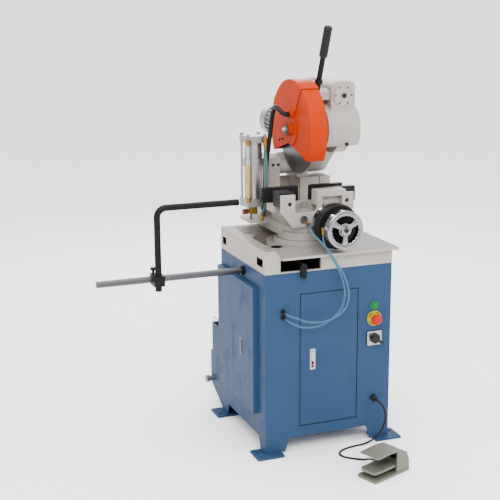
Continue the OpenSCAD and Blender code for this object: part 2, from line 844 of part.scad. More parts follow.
module gear_housing() {
  color(CAST)
    difference() {
      union() {
        at_blade(case_x)
          case_outline(case_r, case_low);
        rod_x(span(wheel_x, sump_half), blade_y, blade_z, sump_r);
        rod_y(wheel_x, tunnel_y, worm_z, tunnel_r);
        solid_y([tunnel_y[0], worm_block_y])
          rounded(span(wheel_x, worm_block[0]), [blade_z, worm_z + worm_block[1]], worm_block_r);
        rod_x([guard_x1 - 8, case_x[0]], blade_y, blade_z, nose_r);
        rod_x([guard_x1 + clear, case_x[0]], blade_y, blade_z, nose_r + 14);
        solid_x(hub_out)
          link_outline([pivot_y, pivot_z], boss_r, [blade_y + 50, blade_z - 14], 72);
        solid_x([case_x[0], hub_out[1] + 20])
          polygon([[blade_y + 40, blade_z - 60], [pivot_y - 30, pivot_z + 34],
            [pivot_y + 10, pivot_z + 70], [blade_y + 60, blade_z + 60]]);
        rod_x([cheek_l[1] + 0.5, cheek_r[0] - 0.5], pivot_y, pivot_z, boss_r);
        solid_x([guard_x1 + 4, case_x[0] + 30])
          polygon([[blade_y - 60, worm_z - 16], [blade_y + 60, worm_z - 16],
            [blade_y + 60, worm_z + 20], [blade_y - 30, worm_z + 26], [blade_y - 60, worm_z + 16]]);
        solid_y([pivot_y - 20, pivot_y + 20])
          polygon([[cheek_l[1] + 0.5, pivot_z + 20], [cheek_r[0] - 0.5, pivot_z + 20],
            [cheek_r[0] - 0.5, pivot_z + 41], [cheek_r[1] + 0.5, pivot_z + 41],
            [hub_out[1], pivot_z + 50], [hub_out[1], pivot_z + 84], [hub_out[1] - 42, pivot_z + 74],
            [cheek_r[0] - 6, pivot_z + 54], [cheek_l[1] + 0.5, pivot_z + 40]]);
      }
      at_blade([case_x[0] + 2 * case_wall, case_x[1] + 1])
        case_outline(cavity_r, case_low - case_wall);
      rod_x(span(wheel_x, sump_half - case_wall), blade_y, blade_z, sump_r - case_wall);
      rod_y(wheel_x, [tunnel_y[0] + end_wall, worm_block_y - end_wall], worm_z, worm_cavity);
      rod_y(wheel_x, [tunnel_y[0] - 1, tunnel_y[1] + 1], worm_z, worm_bearing);
      rod_x([guard_x1 - 9, case_x[0] + 13], blade_y, blade_z, spindle_r + 10);
      rod_x([cheek_l[1], hub_out[1] + 1], pivot_y, pivot_z, pivot_r + fit);
      on_handle()
        cylinder(r = stem_r, h = bar_l);
      block([cheek_r[0] - 0.5, cheek_r[1] + 0.5], [pivot_y - boss_r - 2, pivot_y + boss_r + 2],
        [pivot_z - boss_r - 2, pivot_z + boss_r + 2]);
    }
}

// Bolted covers on the gear housing, with bearing seats
cover_r = 42;
screw_head = 3.5;

module ring_of(n, r) {
  for (i = [0:n - 1])
    rotate(360 * i / n)
      translate([r, 0, 0])
        children();
}

module head_covers() {
  color(CAST)
    union() {
      difference() {
        rod_y(wheel_x, [tunnel_y[0] - 5, tunnel_y[0]], worm_z, cover_r);
        translate([wheel_x, tunnel_y[0] - 5, worm_z])
          rotate([90, 0, 0])
            ring_of(6, cover_r - 8)
              translate([0, 0, -1.5])
                cylinder(r = screw_head, h = 3);
      }
      rod_y(wheel_x, [tunnel_y[0] - 8, tunnel_y[0] - 5], worm_z, 10);
      rod_y(wheel_x, [tunnel_y[0], tunnel_y[0] + 6], worm_z, worm_bearing);
    }
  color(CAST)
    difference() {
      union() {
        at_blade([case_x[1], case_x[1] + 8])
          case_outline(case_r - 2, case_low - 2);
        rod_x([case_x[1] + 8, case_x[1] + 14], blade_y, blade_z, 46);
        rod_x([case_x[1] - 10, case_x[1]], blade_y, blade_z, 44);
      }
      rod_x([case_x[1] - 11, case_x[1] + 6], blade_y, blade_z, bearing_r);
      translate([case_x[1] + 8, blade_y, blade_z])
        rotate([0, 90, 0])
          ring_of(8, case_low - 10)
            translate([0, 0, -2])
              cylinder(r = screw_head, h = 3);
    }
  color(STEEL) {
    for (y = [tunnel_y[0] + 8, tunnel_y[1] - 20])
      difference() {
        rod_y(wheel_x, [y, y + 14], worm_z, worm_bearing);
        rod_y(wheel_x, [y - 1, y + 15], worm_z, worm_journal + fit);
      }
    difference() {
      rod_x([case_x[1] - 9, case_x[1] + 5.5], blade_y, blade_z, bearing_r - fit);
      rod_x([case_x[1] - 11, case_x[1] + 6], blade_y, blade_z, spindle_r + fit);
    }
    difference() {
      rod_x([guard_x1, case_x[0] + 8], blade_y, blade_z, spindle_r + 10 - fit);
      rod_x([guard_x1 - 1, case_x[0] + 9], blade_y, blade_z, spindle_r + fit);
    }
  }
}

// Spindle with its worm wheel; the wheel's teeth are straight-flanked
wheel_tip = 91.5;
wheel_root = 83;
wheel_half = 11;
pitch = 360 / wheel_teeth;
worm_turns = 5;
mesh_phase = (worm_turns % 2) / 2;

function wheel_points() = [for (i = [0:wheel_teeth - 1]) let (c = 90 + pitch * (i + mesh_phase))
  each [wheel_root * [cos(c - 2.3), sin(c - 2.3)], wheel_tip * [cos(c - 1.1), sin(c - 1.1)],
    wheel_tip * [cos(c + 1.1), sin(c + 1.1)], wheel_root * [cos(c + 2.3), sin(c + 2.3)]]];

module spindle() {
  color(STEEL)
    union() {
      rod_x([-14, case_x[1] + 4], blade_y, blade_z, spindle_r);
      rod_x([-32, -14], blade_y, blade_z, 12);
      rod_x([blade_t / 2, guard_x1 - 10], blade_y, blade_z, 34);
    }
  color(BRASS)
    difference() {
      translate([0, blade_y, blade_z])
        solid_x(span(wheel_x, wheel_half))
          polygon(wheel_points());
      rod_x(span(wheel_x, 12), blade_y, blade_z, spindle_r);
    }
}

// Blade with ground teeth, and the flange nut that clamps it
tooth = 360 / blade_teeth;
tooth_h = 5;
flange_r = 50;

function blade_points() = [for (i = [0:blade_teeth - 1]) let (c = tooth * i)
  each [blade_r * [cos(c), sin(c)], (blade_r - 1.5) * [cos(c + 0.35 * tooth), sin(c + 0.35 * tooth)],
    (blade_r - tooth_h) * [cos(c + 0.92 * tooth), sin(c + 0.92 * tooth)]]];

module blade() {
  color(STEEL)
    difference() {
      translate([0, blade_y, blade_z])
        solid_x(blade_t / 2 * [-1, 1])
          polygon(blade_points());
      rod_x([-5, 5], blade_y, blade_z, spindle_r);
    }
  color(STEEL)
    difference() {
      rod_x([-12, -blade_t / 2], blade_y, blade_z, flange_r);
      rod_x([-13, 0], blade_y, blade_z, spindle_r);
    }
}

// Worm: one thread wound on its shaft, with a pulley at the rear end
worm_root = 36;
worm_tip = 43.5;
worm_lead = 2 * PI * (worm_rise - 40) / wheel_teeth;
thread_steps = 24;
pulley_y = [296, 318];
worm_pulley = 28.5;

function thread_ring(i) = let (w = 360 * i / thread_steps, y = worm_lead * (i / thread_steps - worm_turns / 2))
  [for (c = [[worm_root - 1, -3.4], [worm_tip, -1.5], [worm_tip, 1.5], [worm_root - 1, 3.4]])
    [c[0] * sin(w), y + c[1], c[0] * cos(w)]];

module thread() {
  n = worm_turns * thread_steps;
  points = [for (i = [0:n]) each thread_ring(i)];
  walls = [for (i = [0:n - 1], k = [0:3]) let (m = (k + 1) % 4)
    each [[4 * i + k, 4 * i + m, 4 * i + 4 + m], [4 * i + k, 4 * i + 4 + m, 4 * i + 4 + k]]];
  end = 4 * n;
  caps = [[0, 2, 1], [0, 3, 2], [end, end + 1, end + 2], [end, end + 2, end + 3]];
  polyhedron(points, concat(walls, caps));
}

module worm_shaft() {
  color(STEEL)
    translate([wheel_x, blade_y, worm_z])
      thread();
  color(STEEL)
    union() {
      rod_y(wheel_x, span(blade_y, 44), worm_z, worm_root);
      rod_y(wheel_x, [tunnel_y[0] + 8, pulley_y[1] + 4], worm_z, worm_journal);
      rod_y(wheel_x, pulley_y, worm_z, worm_pulley);
    }
}

// Motor rotor with its pulley, and the belt to the worm shaft
motor_pulley = 20.25;
belt_t = 6;
motor_shaft = 12;

module belt_drive() {
  color(STEEL)
    union() {
      rod_y(motor_x, pulley_y, motor_z, motor_pulley);
      rod_y(motor_x, [pulley_y[0] - 4, motor_y[1] - 24], motor_z, motor_shaft);
    }
}

// Belt case behind the guard, carried by the worm tunnel, with a screwed front cover
cowl_l = 68;
case_y = [tunnel_y[1], tunnel_y[1] + cowl_l];
motor_r = 68;
motor_l = 170;
cowl_r = 74;
cowl_wall = 8;
sheave_r = 48;

module belt_case() {
  m = [motor_x, motor_z];
  w = [wheel_x, worm_z];
  color(CAST)
    difference() {
      solid_y([case_y[0] + 16, case_y[1]])
        link_outline(m, cowl_r, w, sheave_r);
      solid_y([case_y[0] + 24, case_y[1] - cowl_wall])
        link_outline(m, cowl_r - cowl_wall, w, sheave_r - cowl_wall);
      rod_y(w[0], [case_y[0], case_y[1] - cowl_wall], w[1], worm_bearing);
      rod_y(m[0], [case_y[1] - cowl_wall - 1, case_y[1] + 1], m[1], motor_shaft + fit);
      translate([m[0], case_y[0] + 16, m[1]])
        rotate([90, 0, 0])
          ring_of(16, cowl_r - 10)
            translate([0, 0, -3])
              cylinder(r = screw_head + 1, h = 4);
    }
  color(BLACK)
    solid_y([pulley_y[0] + 2, pulley_y[1] - 2])
      difference() {
        link_outline(m, motor_pulley + clear + belt_t, w, worm_pulley + clear + belt_t);
        link_outline(m, motor_pulley + clear, w, worm_pulley + clear);
      }
  color(CAST)
    difference() {
      rod_y(w[0], [case_y[0], case_y[0] + 16], w[1], tunnel_r);
      rod_y(w[0], [case_y[0] - 1, case_y[0] + 17], w[1], worm_bearing);
    }
}

// Motor with cooling fins, an end shield and a fan cowl at the rear
motor_y = [case_y[1], case_y[1] + motor_l];

module motor() {
  color(CAST)
    difference() {
      union() {
        rod_y(motor_x, motor_y, motor_z, motor_r - 10);
        for (i = [0:23])
          translate([motor_x, 0, motor_z])
            rotate([0, 15 * i, 0])
              block([-1.5, 1.5], [motor_y[0] + 14, motor_y[1] - 50], [motor_r - 12, motor_r]);
        rod_y(motor_x, [motor_y[0], motor_y[0] + 14], motor_z, motor_r);
        rod_y(motor_x, [motor_y[1] - 50, motor_y[1]], motor_z, motor_r + 2);
        block(span(motor_x, 32), [motor_y[0] + 30, motor_y[0] + 100],
          [motor_z + motor_r - 14, motor_z + motor_r + 34]);
      }
      rod_y(motor_x, [motor_y[0] - 1, motor_y[1] - 20], motor_z, motor_shaft + fit);
      translate([motor_x, motor_y[1], motor_z])
        rotate([90, 0, 0])
          for (r = [22, 38, 54])
            ring_of(r / 4 + 1, r)
              translate([0, 0, -1])
                cylinder(r = 5, h = 5);
    }
}

// Blade guard: two side plates and a rim, open below where the blade meets the work
split_low = 122;
apex = [15, -55];
rear_low = [187, -105];
front_low = [-182, -113];
hose_boss = [-20, 61];

module guard_outline(r) {
  difference() {
    circle(r);
    polygon([apex, rear_low, [rear_low[0] + 60, rear_low[1] - 20], [rear_low[0], -2 * r],
      [front_low[0], -2 * r], [front_low[0] - 60, front_low[1] - 20], front_low]);
  }
}

module fixed_outline(r) {
  difference() {
    guard_outline(r);
    sector(split_low, 250, 2 * r);
  }
  intersection() {
    guard_outline(r);
    circle(62);
  }
}

module at_blade(x) {
  translate([0, blade_y, blade_z])
    solid_x(x)
      children();
}

module blade_guard() {
  color(ORANGE)
    difference() {
      union() {
        at_blade([guard_x, guard_in])
          fixed_outline(guard_r);
        at_blade([guard_x1 - guard_t, guard_x1])
          fixed_outline(guard_r);
        at_blade([guard_x, guard_x1])
          difference() {
            fixed_outline(guard_r);
            circle(guard_r - guard_t);
            fixed_outline(guard_r - guard_t);
          }
        rod_x([guard_x - 16, guard_in], blade_y, blade_z, 23);
        rod_x([guard_x - 14, guard_in], blade_y + hose_boss[0], blade_z + hose_boss[1], coolant_r + 4);
      }
      rod_x([guard_in - 8, guard_in + 1], blade_y, blade_z, 13);
      rod_x([guard_x1 - 5, guard_x1 + 1], blade_y, blade_z, nose_r);
      rod_x([guard_x - 15, guard_in + 1], blade_y + hose_boss[0], blade_z + hose_boss[1], coolant_r - 3);
    }
}

// Swinging front guard that folds back inside the fixed one as the head comes down
swing_gap = 1;
swing_x = [guard_in + swing_gap, guard_x1 - guard_t - swing_gap];
swing_r = guard_r - guard_t - swing_gap - 1;

module swing_outline(r) {
  intersection() {
    guard_outline(r);
    sector(split_low - 14, 250, 2 * r);
  }
}

module swing_guard() {
  color(ORANGE)
    difference() {
      union() {
        for (x = [[swing_x[0], swing_x[0] + guard_t], [swing_x[1] - guard_t, swing_x[1]]])
          at_blade(x)
            union() {
              swing_outline(swing_r);
              circle(56);
            }
        at_blade(swing_x)
          difference() {
            swing_outline(swing_r);
            circle(swing_r - guard_t);
          }
      }
      rod_x([swing_x[0] - 1, swing_x[0] + guard_t + 1], blade_y, blade_z, 14);
      rod_x([swing_x[1] - guard_t - 1, swing_x[1] + 1], blade_y, blade_z, nose_r + fit);
    }
}

// Operating handle: a bar screwed into the head, with a ribbed grip
handle_at = [65, 39, 1328];
handle_lean = 17;
handle_tilt = 2.5;
bar_l = 275;
grip_r = 16.5;
stem_r = 10.5;
lock_nut = [17, 49, 63];

module on_handle() {
  translate(handle_at)
    rotate([handle_lean, handle_tilt, 0])
      children();
}

module handle_bar() {
  color(BLACK)
    on_handle()
      union() {
        cylinder(r = stem_r, h = bar_l - 4);
        translate([0, 0, lock_nut[1]])
          cylinder(r = lock_nut[0], h = lock_nut[2] - lock_nut[1], $fn = 6);
      }
}

module handle_grip() {
  color(BLACK)
    on_handle()
      difference() {
        translate([0, 0, bar_l - grip_l])
          rotate_extrude()
            polygon([[0, 0], [grip_r - 1, 0],
              for (i = [0:7]) let (z = 6 + i * (grip_l - 24) / 8, s = (grip_l - 24) / 8)
                each [[grip_r, z], [grip_r, z + 0.6 * s], [grip_r - 1.2, z + 0.7 * s],
                  [grip_r - 1.2, z + 0.95 * s]],
              [grip_r, grip_l - 16], [grip_r, grip_l - 8], [grip_r - 4, grip_l - 1],
              [0, grip_l]]);
        cylinder(r = stem_r, h = bar_l - 4);
      }
}

// Coolant hose from the turntable's hose tail up to the guard
module coolant_hose() {
  color(BLACK)
    tube(coolant_route, 3, coolant_r, 10);
}

// Air-oil tank: tube, square end caps with tie rods, sight tube and brass fittings
cap = 86;
cap_h = 30;
tie_at = 35;

module oil_tank() {
  color(STEEL)
    difference() {
      rod_z(tank_x, tank_y, [tank_z, tank_top], tank_r);
      rod_z(tank_x, tank_y, [tank_z - 1, tank_top + 1], tank_r - 3);
    }
}

module tank_caps() {
  color(STEEL) {
    for (z = [[tank_z - cap_h, tank_z], [tank_top, tank_top + cap_h - 4]])
      solid_z(z)
        translate([tank_x, tank_y])
          difference() {
            rounded(cap / 2 * [-1, 1], cap / 2 * [-1, 1], 6);
            for (x = tie_at * [-1, 1], y = tie_at * [-1, 1])
              translate([x, y])
                circle(4);
          }
    for (x = tie_at * [-1, 1], y = tie_at * [-1, 1])
      union() {
        rod_z(tank_x + x, tank_y + y, [tank_z - cap_h - 6, tank_top + cap_h + 4], 4);
        rod_z(tank_x + x, tank_y + y, [tank_top + cap_h - 4, tank_top + cap_h + 2], 7);
        rod_z(tank_x + x, tank_y + y, [tank_z - cap_h - 6, tank_z - cap_h], 7);
      }
  }
}

sight_at = [tank_x - 42, tank_y - 56];
sight_z = [tank_z + 12, tank_top - 6];

module sight_tube() {
  color(CLEAR_BLUE)
    difference() {
      rod_z(sight_at[0], sight_at[1], sight_z, 6);
      rod_z(sight_at[0], sight_at[1], [sight_z[0] - 1, sight_z[1] + 1], 4);
    }
  color(YELLOW)
    rod_z(sight_at[0], sight_at[1], [sight_z[0], sight_z[0] + 150], 4 - fit);
}

module tank_fittings() {
  face = tank_y - cap / 2;
  color(BRASS)
    for (z = [sight_z[0] - 20, sight_z[1]])
      union() {
        rod_z(sight_at[0], sight_at[1], [z, z + 20], 9);
        rod_y(sight_at[0] + 8, [sight_at[1], face], z + 10, 6);
      }
  color(BRASS)
    union() {
      rod_y(feed_route[0][0], [feed_route[0][1], face], tank_top + 12, 6);
      rod_z(feed_route[0][0], feed_route[0][1], [feed_route[0][2], tank_top + 20], 9);
    }
  color(BRASS)
    difference() {
      union() {
        block([tank_x - 20, tank_x + 12], span(tank_y, 11), [tank_z - cap_h - 34, tank_z - cap_h]);
        rod_x([tank_x - 26, tank_x - 20], tank_y, valve_z, 8);
      }
      rod_x([tank_x - 27, tank_x - 8], tank_y, valve_z, 4);
    }
  color(BRASS)
    for (c = [[feed_route[len(feed_route) - 1], 8], [valve_route[len(valve_route) - 1], 6],
        [coolant_route[len(coolant_route) - 1], 10]])
      rod_z(c[0][0], c[0][1], [drum_top, c[0][2]], c[1]);
}

valve_z = tank_z - cap_h - 24;

module flow_knob() {
  color(RED)
    union() {
      rod_x([tank_x - 46, tank_x - 26 - clear], tank_y, valve_z, 11);
      rod_x([tank_x - 40, tank_x - 9], tank_y, valve_z, 4 - fit);
    }
}

module tank_bracket() {
  z = [tank_top - 92, tank_top - 62];
  color(BLACK)
    difference() {
      union() {
        rod_z(tank_x, tank_y, z, tank_r + 6);
        block([tank_x, cheek_x], [tank_y - 8, tank_y + 8], z);
        block([cheek_x - 14, cheek_x], [tank_y - 8, column_y[0] + 20], z);
      }
      rod_z(tank_x, tank_y, [z[0] - 1, z[1] + 1], tank_r);
    }
}

// Feed and valve hoses down to the turntable's lug
module feed_hoses() {
  color(TEAL)
    tube(feed_route, 3, feed_r, 10);
  color(BLACK)
    tube(valve_route, 1, cord_r, 8);
}

// Vise bed: a table with a fan-shaped blade slot over a channel for the jaw's tongue
bed_x = 150;
bed_y = [-45, 62];
table_t = 26;
tongue_w = 60;
tongue_h = 30;
rail_w = 12;
nut_w = 32;
tongue_z = drum_top + clear + 4;
fan = 6;

module vise_bed() {
  color(CAST)
    difference() {
      union() {
        solid_z([drum_top + clear, bed_z])
          polygon([[-bed_x, bed_y[0]], [bed_x, bed_y[0]], [bed_x, jaw_y], [bed_x - 40, bed_y[1]],
            [40 - bed_x, bed_y[1]], [-bed_x, jaw_y]]);
        solid_x([40 - bed_x, bed_x - 40])
          polygon([[jaw_y + jaw_t, bed_z - 1], [bed_y[1], bed_z - 1], [bed_y[1], bed_z + 22],
            [jaw_y + jaw_t + 6, jaw_top - 12], [jaw_y + jaw_t, jaw_top - 12]]);
      }
      solid_z([bed_z - table_t, jaw_top + 1])
        polygon([[-fan, 0], [-fan - 70, -70], [fan, -70], [fan, 0], [fan + 70, 70], [-fan, 70]]);
      block(span(screw_x, tongue_w / 2 + clear), [bed_y[0] - 1, bed_y[1] + 1],
        [tongue_z - clear, tongue_z + tongue_h + clear]);
      for (s = [-1, 1])
        solid_y([bed_y[0] - 1, bed_y[1] + 1])
          polygon([[s * 104, drum_top], [s * (bed_x + 1), drum_top],
            [s * (bed_x + 1), bed_z - table_t], [s * 126, bed_z - table_t]]);
    }
  color(STEEL)
    difference() {
      block(span(screw_x, nut_w / 2), [bed_y[0] + 4, bed_y[0] + 34], [tongue_z - clear, tongue_z + tongue_h]);
      rod_y(screw_x, [bed_y[0], bed_y[0] + 40], screw_z, screw_r + clear);
    }
}

// Fixed jaws: two hardened bars whose inner ends leave room for a mitred blade
jaw_in = [-18, 24];

module fixed_jaws() {
  color(BLACK) {
    solid_z([bed_z, jaw_top])
      polygon([[jaw_in[0], jaw_y], [jaw_in[0], jaw_y + jaw_t], [jaw_in[0] - jaw_l, jaw_y + jaw_t],
        [jaw_in[0] - jaw_l, jaw_y]]);
    solid_z([bed_z, jaw_top])
      polygon([[jaw_in[1], jaw_y], [jaw_in[1] + jaw_l, jaw_y], [jaw_in[1] + jaw_l, jaw_y + jaw_t],
        [jaw_in[1] + jaw_t, jaw_y + jaw_t]]);
  }
}

// Moving jaw: an apron and beam casting on a tongue that runs in the bed's channel
slide_x = -slide_w / 2;
slide_r = slide_x + slide_w + 14;
beam_end = 124;
notch_x = [slide_x + 57, 5];
left_top = jaw_top - 8;
right_top = jaw_top - 12;
notch_z = bed_z - 22;
slide_low = drum_top + 2;

module moving_jaw() {
  back = front_jaw_y - jaw_t;
  hose = jaw_hose_route[0];
  color(CAST)
    difference() {
      union() {
        solid_y([apron_y, apron_y + apron_t])
          polygon([[slide_x, left_top], [notch_x[1], left_top], [notch_x[1], jaw_top],
            [beam_end, jaw_top], [beam_end, right_top], [slide_r, right_top], [slide_r, bed_z - 18],
            [slide_r - 64, slide_low], [slide_x + 46, slide_low], [slide_x, bed_z - 18]]);
        block([notch_x[1], beam_end], [apron_y, back], [bed_z + clear, jaw_top]);
        for (x = [screw_x - tongue_w / 2, screw_x + tongue_w / 2 - rail_w])
          block([x, x + rail_w], [apron_y, bed_y[1] - 4], [tongue_z, tongue_z + tongue_h]);
      }
      solid_y([apron_y - 1, back + 1])
        rounded(notch_x, [notch_z, jaw_top + 30], 12);
      block([notch_x[1] + 20, beam_end - 16], [apron_y - 1, apron_y + 22], [bed_z - 8, bed_z + 34]);
      rod_y(screw_x, [apron_y - 7, bed_y[1]], screw_z, screw_r + fit * 2);
      for (x = [slide_x + 35, -slide_x - 14])
        rod_y(x, [apron_y - 1, apron_y + 6], bed_z + 14, 8);
    }
  color(STEEL)
    for (x = [slide_x + 35, -slide_x - 14])
      rod_y(x, [apron_y, apron_y + 6], bed_z + 14, 6);
  color(OLIVE)
    rod_y(-52, [apron_y - 5, apron_y], 878, 15);
  color(BRASS)
    difference() {
      rod_y(hose[0], [apron_y - 24, apron_y], hose[2], 6.5);
      rod_y(hose[0], [apron_y - 25, apron_y - 4], hose[2], air_r + fit);
    }
}

// Hardened block and plate bolted to the moving jaw
plate_r = 190;

module jaw_plates() {
  y = [front_jaw_y - jaw_t, front_jaw_y];
  color(BLACK) {
    block([slide_x - 2, notch_x[0]], [apron_y + apron_t, y[1]], [bed_z + clear, jaw_top]);
    solid_z([bed_z + clear, jaw_top])
      polygon([[notch_x[1] + 1, y[0]], [plate_r, y[0]], [plate_r, y[1]], [notch_x[1] + 13, y[1]]]);
  }
}

// Piston nose between the cylinder and the jaw, flat below to pass over the turntable
clamp_y = [apron_y - 128, apron_y - 66];
flange_l = 22;
rod_steel = 18.5;
nose_steel = 46;

module piston_nose() {
  color(CHROME)
    difference() {
      union() {
        intersection() {
          rod_y(screw_x, [clamp_y[1] + 4, apron_y], screw_z, nose_steel);
          block(span(screw_x, nose_steel), [clamp_y[1], apron_y], [slide_low, screw_z + nose_steel]);
        }
        rod_y(screw_x, [clamp_y[1] - 20, clamp_y[1] + 4], screw_z, rod_steel);
      }
      rod_y(screw_x, [clamp_y[0], apron_y + 1], screw_z, screw_r + fit * 2);
    }
}

// Clamping cylinder: a black barrel with a bright rear flange and a brass fitting on its front
module clamp_cylinder() {
  hose = piston_hose_route[0];
  color(BLACK)
    difference() {
      translate([screw_x, clamp_y[1] - flange_l, screw_z])
        rotate([90, 0, 0])
          rotate_extrude()
            polygon([[0, 0], [clamp_r, 0], [clamp_r, 36], [clamp_r - 4, 40], [0, 40]]);
      rod_y(screw_x, [clamp_y[0] - 1, clamp_y[1] + 1], screw_z, screw_r + fit);
    }
  color(CHROME)
    difference() {
      rod_y(screw_x, [clamp_y[1] - flange_l, clamp_y[1]], screw_z, clamp_r - 2);
      rod_y(screw_x, [clamp_y[1] - flange_l - 1, clamp_y[1] + 1], screw_z, rod_steel + fit);
    }
  color(BRASS)
    difference() {
      union() {
        rod_y(hose[0], [hose[1], clamp_y[0]], hose[2] + 8, 6.5);
        rod_z(hose[0], hose[1], [hose[2] - 12, hose[2] + 15], 6.5);
      }
      rod_z(hose[0], hose[1], [hose[2] - 13, hose[2] + 1], air_r + fit);
    }
}

// Handwheel: a plain rim, three spokes and a hub on the vise screw
hub_y = clamp_y[0] - 30;
rim_t = 26;

module handwheel() {
  y = [hub_y - rim_t, hub_y];
  color(CHROME)
    difference() {
      union() {
        rod_y(screw_x, y, screw_z, wheel_r);
        rod_y(screw_x, [hub_y, clamp_y[0] - clear], screw_z, 24);
        rod_y(screw_x, [y[0] - 6, y[0]], screw_z, 13);
      }
      translate([screw_x, y[0] - 1, screw_z])
        rotate([90, 0, 0])
          for (i = [0:2])
            rotate(90 + 120 * i)
              translate([0, 0, -rim_t - 2])
                linear_extrude(rim_t + 4)
                  difference() {
                    intersection() {
                      circle(wheel_r - 18);
                      sector(-46, 46, 2 * wheel_r);
                    }
                    circle(25);
                  }
    }
  color(STEEL)
    union() {
      rod_y(screw_x, [y[0] - 10, y[0] - 6], screw_z, 7);
      rod_y(screw_x, [hub_y, bed_y[1]], screw_z, screw_r);
    }
}

// Two air hoses in a loose loop from the vise to the bulkhead
module air_hoses() {
  color(CLEAR_BLUE) {
    tube(jaw_hose_route, 2, air_r, 8);
    tube(piston_hose_route, 2, air_r, 8);
  }
}

// Bar stop: a rod in a collar on the cabinet, a sliding clamp and a bent arm
rod_in = 40;
rod_end = -side_x - rod_l;

module stop_rod() {
  color(CHROME)
    rod_x([rod_end, -side_x + rod_in], stop_y, stop_z, rod_r);
  color(BLACK)
    difference() {
      rod_x([-side_x - 15, -side_x], stop_y, stop_z, rod_r + 5);
      rod_x([-side_x - 16, -side_x + 1], stop_y, stop_z, rod_r);
    }
}

arm_y0 = stop_y - rod_r - arm_r - 3;

module stop_clamp() {
  color(BLACK)
    difference() {
      union() {
        block(span(clamp_x, 20), [arm_y0 - arm_r - 6, stop_y + rod_r + 6], span(stop_z, 20));
        rod_z(clamp_x - 12, stop_y, [stop_z + 20, stop_z + 36], 5);
        rod_z(clamp_x - 12, stop_y, [stop_z + 36, stop_z + 46], 11);
      }
      rod_x(span(clamp_x, 21), stop_y, stop_z, rod_r + fit);
      rod_z(clamp_x, arm_y0, span(stop_z, 47), arm_r + fit);
    }
}

bend_r = 34;
arm_end = -291;

module stop_arm() {
  color(BLACK)
    union() {
      rod_z(clamp_x, arm_y0, [stop_z - 40, stop_top - bend_r], arm_r);
      translate([clamp_x + bend_r, arm_y0, stop_top - bend_r])
        rotate([90, 0, 0])
          rotate([0, 0, 90])
            rotate_extrude(angle = 90)
              translate([bend_r, 0])
                circle(arm_r);
      rod_x([clamp_x + bend_r, arm_end], arm_y0, stop_top, arm_r);
    }
}

// Coolant tank on the cabinet's back with its drain, and the pump beside the chip box
sump_y = [rear_y, rear_y + sump_d];
sump_low = 14;
sump_rise = 82;

module coolant_tank() {
  color(BLUE)
    difference() {
      solid_x(sump_x)
        polygon([[sump_y[0], sump_low], [sump_y[0] + 20, sump_low], [sump_y[1], sump_rise],
          [sump_y[1], sump_top], [sump_y[0], sump_top]]);
      solid_x([sump_x[0] + sheet, sump_x[1] - sheet])
        polygon([[sump_y[0] + sheet, sump_low + sheet], [sump_y[0] + 20, sump_low + sheet],
          [sump_y[1] - sheet, sump_rise + sheet], [sump_y[1] - sheet, sump_top + 1],
          [sump_y[0] + sheet, sump_top + 1]]);
    }
  color(BLUE)
    difference() {
      block([60, sump_x[1] - sheet], [sump_y[0] + sheet, sump_y[1] - sheet], [sump_top - sheet, sump_top]);
      rod_z(100, sump_y[0] + 80, [sump_top - 5, sump_top + 1], 30);
    }
  color(BLACK)
    union() {
      rod_z(100, sump_y[0] + 80, [sump_top - 120, sump_top], 30 - fit);
      rod_z(100, sump_y[0] + 80, [sump_top, sump_top + 8], 45);
      rod_z(100, sump_y[0] + 80, [sump_top + 8, sump_top + 120], 38);
    }
  color(STEEL)
    union() {
      rod_x([sump_x[0] - 20, sump_x[0]], sump_y[1] - 30, sump_rise + 24, 12);
      rod_x([sump_x[0] - 34, sump_x[0] - 20], sump_y[1] - 30, sump_rise + 24, 16);
    }
}

// Chip box: an open box with a wire bail, standing on the coolant tank
box_x = [sump_x[0], 50];
box_y = [rear_y + 2, rear_y + sump_d - 22];

module chip_box() {
  z = [sump_top + clear, sump_top + box_h];
  color(BLUE)
    difference() {
      block(box_x, box_y, z);
      block([box_x[0] + sheet, box_x[1] - sheet], [box_y[0] + sheet, box_y[1] - sheet],
        [z[0] + sheet, z[1] + 1]);
    }
  color(STEEL)
    union() {
      for (x = [box_x[0] + 60, box_x[1] - 60])
        rod_z(x, box_y[1] - sheet / 2, [z[1], z[1] + 24], 3);
      rod_x([box_x[0] + 57, box_x[1] - 57], box_y[1] - sheet / 2, z[1] + 24, 3);
    }
}

// Foot switch: base and hood in one casting, with a hinged treadle under the hood
treadle_z = 34;
treadle_pin_u = 52;

module at_pedal() {
  translate(pedal_at)
    rotate(pedal_turn)
      children();
}

module hood_outline() {
  top = hood_h;
  polygon([[pedal_l / 2 - 4, 8], [pedal_l / 2 - 6, top - 54], [pedal_l / 2 - 20, top - 22], [pedal_l / 2 - 52, top - 4],
    [-10, top], [-pedal_l / 2 + 14, top - 4], [-pedal_l / 2 + 14, top - 10], [-10, top - 7],
    [pedal_l / 2 - 56, top - 11], [pedal_l / 2 - 28, top - 28], [pedal_l / 2 - 14, top - 56],
    [pedal_l / 2 - 12, 8]]);
}

